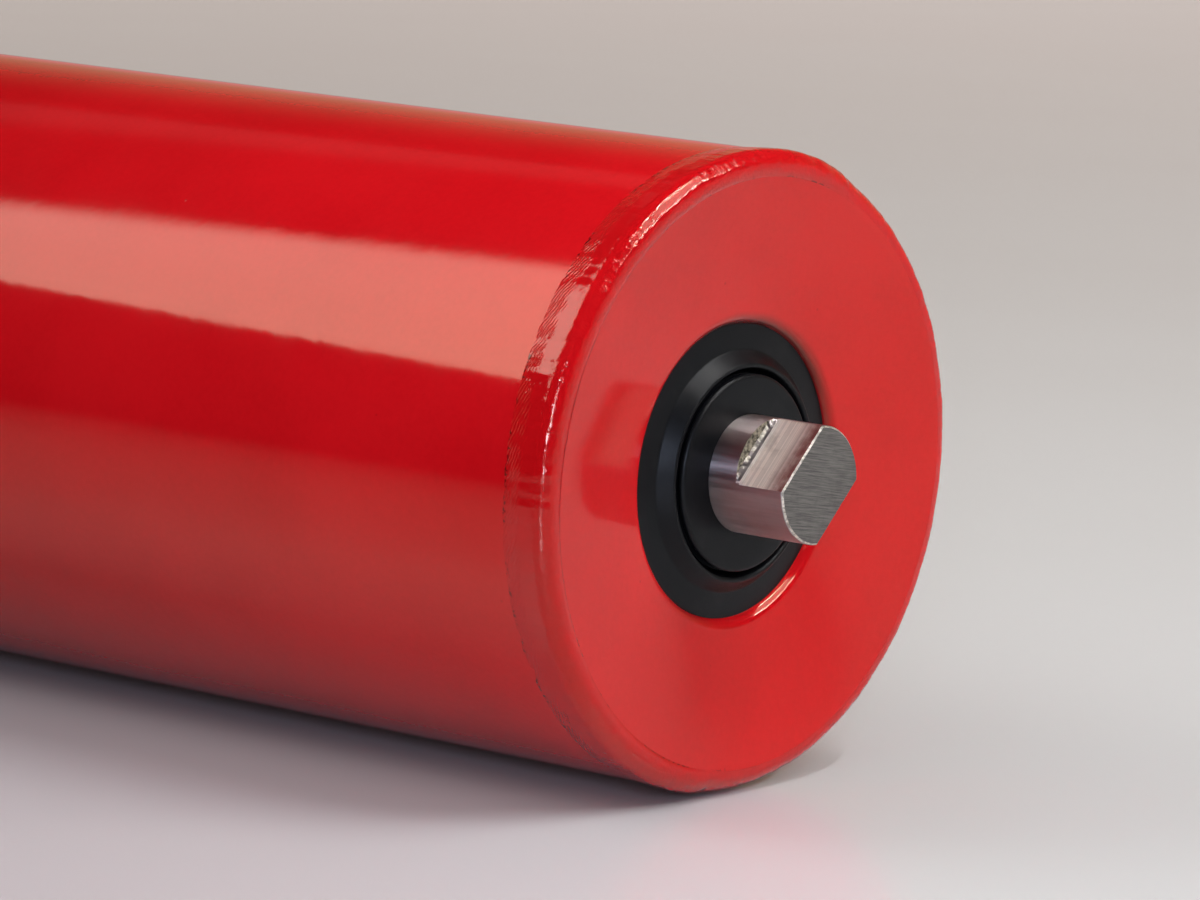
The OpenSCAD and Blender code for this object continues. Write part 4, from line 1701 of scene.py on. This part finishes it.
@dataclass(frozen=True)
class Studio:
    """The floor, the air round it, the lights and the camera."""

    floor_z: float = -0.0545
    floor_r: float = 7.0
    floor_tone: Colour = (0.56, 0.558, 0.568)
    backdrop: Colour = (0.54, 0.50, 0.485)
    fill: float = 0.425
    eye: tuple[float, float, float] = (0.8389, -0.8556, 0.1719)
    yaw: float = 129.89
    pitch: float = -8.77
    roll: float = 2.11
    lens: float = 199.2
    sensor: float = 36.0

    def floor(self) -> None:
        """Makes the floor, a wide pale sheet with a low gloss."""
        shape = bmesh.new()
        bmesh.ops.create_circle(shape, cap_ends=True, radius=self.floor_r, segments=96,
                                matrix=Matrix.Translation((0.0, 0.0, self.floor_z)))
        mesh = bpy.data.meshes.new("floor")
        shape.to_mesh(mesh)
        shape.free()
        mesh.materials.append(self.floor_finish())
        made = link("floor", mesh)

    def floor_finish(self) -> bpy.types.Material:
        """Makes the floor's material: a pale tone with painted shade, darker left of a line that leads away from the
        camera.

        Returns:
            The material. In reflections its colour fades to black on the far left, painted shade where the lamps'
            pool of light ends, and it glows like the backdrop far from the roller.
        """
        made = bpy.data.materials.new("floor")
        bench = Bench.emptied(made)
        place = bench.outputs("ShaderNodeTexCoord")["Object"]
        path = bench.outputs("ShaderNodeLightPath")
        shader = bench.add("ShaderNodeBsdfPrincipled")
        grain = bench.noise(place, 5.0, 2.0, 0.5)
        tone = bench.blend(bench.remap(grain, 0.3, 0.7), tuple(0.99 * part for part in self.floor_tone),
                           self.floor_tone)
        # Painted shade: the floor's tone darkens towards the camera's left.
        step_off = bench.vector("SUBTRACT", place, CAMERA_FOOT)
        ahead = bench.vector("DOT_PRODUCT", step_off, (-0.641, 0.767, 0.0))
        shade_aside = bench.vector("DOT_PRODUCT", step_off, (0.767, 0.641, 0.0)) / bench.math("MAXIMUM", ahead, 0.2)
        tone = bench.scaled(tone, bench.remap(shade_aside, -0.13, 0.09, 0.8, 1.0))
        # Painted shade seen only in reflections: far to the left the floor turns black.
        left = bench.vector("DOT_PRODUCT", place, (-0.68, -0.73, 0.0))
        reflected_pool = bench.math("MAXIMUM", bench.remap(left, 0.12, 0.75, 1.0, 0.0), 1.0 - path["Is Glossy Ray"])
        bench.feed(shader.inputs["Base Color"], bench.blend(reflected_pool, (0.0, 0.0, 0.0), tone))
        bench.feed(shader.inputs["Roughness"], bench.remap(grain, 0.3, 0.7, 0.21, 0.22))
        shader.inputs["IOR"].default_value = 1.4
        far = bench.remap(bench.vector("LENGTH", place), 0.35, 2.2, 0.0, 1.0)
        lit = bench.add("ShaderNodeEmission", {"Color": (*self.backdrop, 1.0),
                                               "Strength": far * 0.45 * path["Is Camera Ray"]})
        both = bench.add("ShaderNodeAddShader", {0: shader.outputs[0], 1: lit.outputs[0]})
        bench.add("ShaderNodeOutputMaterial", {"Surface": both.outputs[0]})
        return made

    def air(self) -> None:
        """Makes the world: a pale backdrop for the camera, a dim studio for the gloss and a soft fill."""
        world = bpy.data.worlds.new("studio")
        bpy.context.scene.world = world
        bench = Bench.emptied(world)
        path = bench.outputs("ShaderNodeLightPath")
        way = bench.outputs("ShaderNodeTexCoord")["Generated"]
        z = bench.separate(way)[2]
        back = bench.vector("DOT_PRODUCT", way, (-0.64, 0.767, 0.0))
        right = bench.vector("DOT_PRODUCT", way, (0.82, 0.57, 0.0))
        # What the gloss shows: a low warm glow behind the roller that dies upwards, with one faint streak,
        # and a low pale glow beside it
        glow = bench.blend(bench.remap(z, 0.04, 0.16), (0.55, 0.28, 0.25), (0.33, 0.29, 0.17))
        behind = bench.scaled(glow, bench.remap(back, 0.0, 0.5) * bench.remap(z, 0.1, 0.56, 1.0, 0.045))
        streak = bench.remap(z, 0.58, 0.62, 0.0, 0.09) * bench.remap(z, 0.69, 0.65)
        beside = bench.remap(right, 0.68, 0.9) * bench.remap(z, 0.13, 0.27, 0.5, 0.0)
        room = bench.vector("ADD", bench.vector("MAXIMUM", behind, bench.grey(beside)), bench.grey(streak))
        glossy = bench.math("MAXIMUM", path["Is Glossy Ray"], path["Is Transmission Ray"])
        soft = bench.remap(z, 0.15, 0.95, 1.0, 1.65) * self.fill
        light = bench.blend(glossy, bench.grey(soft), room)
        seen = bench.add("ShaderNodeBackground", {
            "Color": bench.blend(path["Is Camera Ray"], light, self.backdrop), "Strength": 1.0})
        bench.add("ShaderNodeOutputWorld", {"Surface": seen.outputs[0]})

    def lights(self) -> None:
        """Places the soft lights."""
        Panel("left softbox", -151.0, 33.0, 1.3, 0.77, 0.70, 5.0, shift=(0.19, 0.182), soft_side=0.14,
              low_share=0.65).build()
        Panel("right panel", 26.0, 50.0, 1.3, 0.7, 0.7, 3.2, hot_rim=28.0).build()
        Panel("front lamp", -49.0, 14.0, 1.7, 0.24, 0.40, 33.0, (0.74, 0.86, 1.14)).build()

    def camera(self) -> None:
        """Places the camera."""
        ahead, roll = heading(self.yaw, self.pitch), math.radians(self.roll)
        side = heading(self.yaw - 90.0, 0.0)
        over = side.cross(ahead)
        right = side * math.cos(roll) + over * math.sin(roll)
        up = over * math.cos(roll) - side * math.sin(roll)
        lens = bpy.data.cameras.new("camera")
        lens.sensor_width, lens.lens = self.sensor, self.lens
        lens.clip_start, lens.clip_end = 0.05, 30.0
        made = link("camera", lens)
        made.matrix_world = Matrix.Translation(self.eye) @ Matrix((right, up, -ahead)).transposed().to_4x4()
        bpy.context.scene.camera = made

    def build(self) -> None:
        """Makes everything round the roller."""
        self.floor()
        self.air()
        self.lights()
        self.camera()
        bpy.context.scene.view_settings.view_transform = "Standard"


def enamels(effects: Effects) -> tuple[bpy.types.Material, bpy.types.Material, bpy.types.Material]:
    """Makes the enamels.

    Args:
        effects: The shader groups that they use.

    Returns:
        The enamel of the tube, of the dished faces and of the weld beads.
    """
    # The tube's enamel carries painted shade, darker towards the tube's middle.
    tube = Enamel("tube enamel", effects, deep=(0.465, 0.0030, 0.0060), bright=(0.56, 0.0050, 0.0088), fade_low=0.78)
    # Painted shade: the face's enamel is a copy of the tube's, a little darker to make up for the stronger light on
    # the face.
    face = Enamel("face enamel", effects, deep=(0.442, 0.0030, 0.0056), bright=(0.532, 0.0050, 0.0082),
                  gloss=0.075, lines_depth=0.006 * MM, veil=True)
    bead = Enamel("bead enamel", effects, deep=(0.41, 0.0027, 0.0046), bright=(0.49, 0.0044, 0.0068),
                  tint=(1.0, 0.84, 0.64), gloss=0.04, peel_per_metre=700.0, peel_depth=0.15 * MM,
                  nib_share=0.1, on_weld=True)
    return tube.build(), face.build(), bead.build()


def bar_steels(effects: Effects) -> dict[BarFace, bpy.types.Material]:
    """Makes the steels of the shaft.

    Args:
        effects: The shader groups that they use.

    Returns:
        The steel of each kind of surface.
    """
    steels = {
        BarFace.DRAWN: Steel("drawn bar", effects, tone=(0.345, 0.30, 0.295), stain=(0.25, 0.21, 0.20), rough=0.37,
                             lines_per_metre=1600.0, depth=0.003 * MM, metal=0.95, contrast=0.35, stain_share=0.25,
                             spread=0.95),
        BarFace.MILLED: Steel("milled flat", effects, tone=(0.76, 0.71, 0.62), stain=(0.34, 0.27, 0.22),
                              grain=Grain.MILLED, rough=0.5, lines_per_metre=2600.0, depth=0.05 * MM, metal=0.7,
                              contrast=1.15, tip_from=0.1664, spread=0.8),
        BarFace.SAWN: Steel("sawn end", effects, tone=(0.175, 0.16, 0.145), stain=(0.09, 0.085, 0.075),
                            grain=Grain.SAWN, rough=0.46, lines_per_metre=3800.0, depth=0.03 * MM, metal=0.6,
                            contrast=2.0),
        # The burr and the step's wall take the dark stain over most of their faces: torn metal, with painted shade in
        # the step where the flats end.
        BarFace.BURR: Steel("torn burr", effects, tone=(0.66, 0.60, 0.50), stain=(0.07, 0.055, 0.04),
                            grain=Grain.NONE, rough=0.35, lines_per_metre=1500.0, depth=0.05 * MM, metal=0.5,
                            stain_share=0.8, contrast=2.2),
        BarFace.WALL: Steel("torn wall", effects, tone=(0.34, 0.30, 0.22), stain=(0.03, 0.025, 0.018),
                            grain=Grain.NONE, rough=0.45, lines_per_metre=1300.0, depth=0.08 * MM, metal=0.6,
                            stain_share=0.9, contrast=3.0),
    }
    return {kind: steel.build() for kind, steel in steels.items()}


def bearing_steels(effects: Effects) -> dict[str, bpy.types.Material]:
    """Makes the steels of the bearings and circlips.

    Args:
        effects: The shader groups that they use.

    Returns:
        The steel of each part.
    """
    steels = {
        "ring": Steel("ground rings", effects, tone=(0.58, 0.59, 0.61), rough=0.16, lines_per_metre=6000.0,
                      depth=0.002 * MM, stain_share=0.15),
        "ball": Steel("lapped balls", effects, tone=(0.72, 0.73, 0.75), rough=0.06, grain=Grain.NONE,
                      lines_per_metre=1500.0, depth=0.0004 * MM, stain_share=0.05),
        "cage": Steel("pressed cage", effects, tone=(0.50, 0.49, 0.46), rough=0.34, grain=Grain.NONE,
                      lines_per_metre=1800.0, depth=0.006 * MM),
        "rivet": Steel("cage rivets", effects, tone=(0.60, 0.59, 0.57), rough=0.26, grain=Grain.NONE,
                       lines_per_metre=1500.0, depth=0.004 * MM),
        "spring": Steel("spring steel", effects, tone=(0.10, 0.10, 0.11), stain=(0.05, 0.04, 0.04), rough=0.38,
                        grain=Grain.NONE, lines_per_metre=1300.0, depth=0.006 * MM),
    }
    return {part: steel.build() for part, steel in steels.items()}


def main() -> None:
    """Builds the roller's pieces over the frame, then the studio."""
    logging.basicConfig(level=logging.INFO, format="%(name)s: %(message)s")
    effects = Effects.build()
    tube_coat, face_coat, bead_coat = enamels(effects)
    plastic = Plastic("black moulding", effects).build()
    inside = {**bearing_steels(effects), "plastic": plastic}
    face_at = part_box("right_housing")[1].x
    RollerTube().build(tube_coat)
    for end in End:
        Housing().build(end, face_at, face_coat)
        WeldBead().build(end, face_at, bead_coat)
        LabyrinthSeal().build(end, face_at, plastic)
        BallBearing().build(end, face_at, inside)
    SpannerShaft().build(face_at, bar_steels(effects))
    Studio().build()


if __name__ == "__main__":
    main()
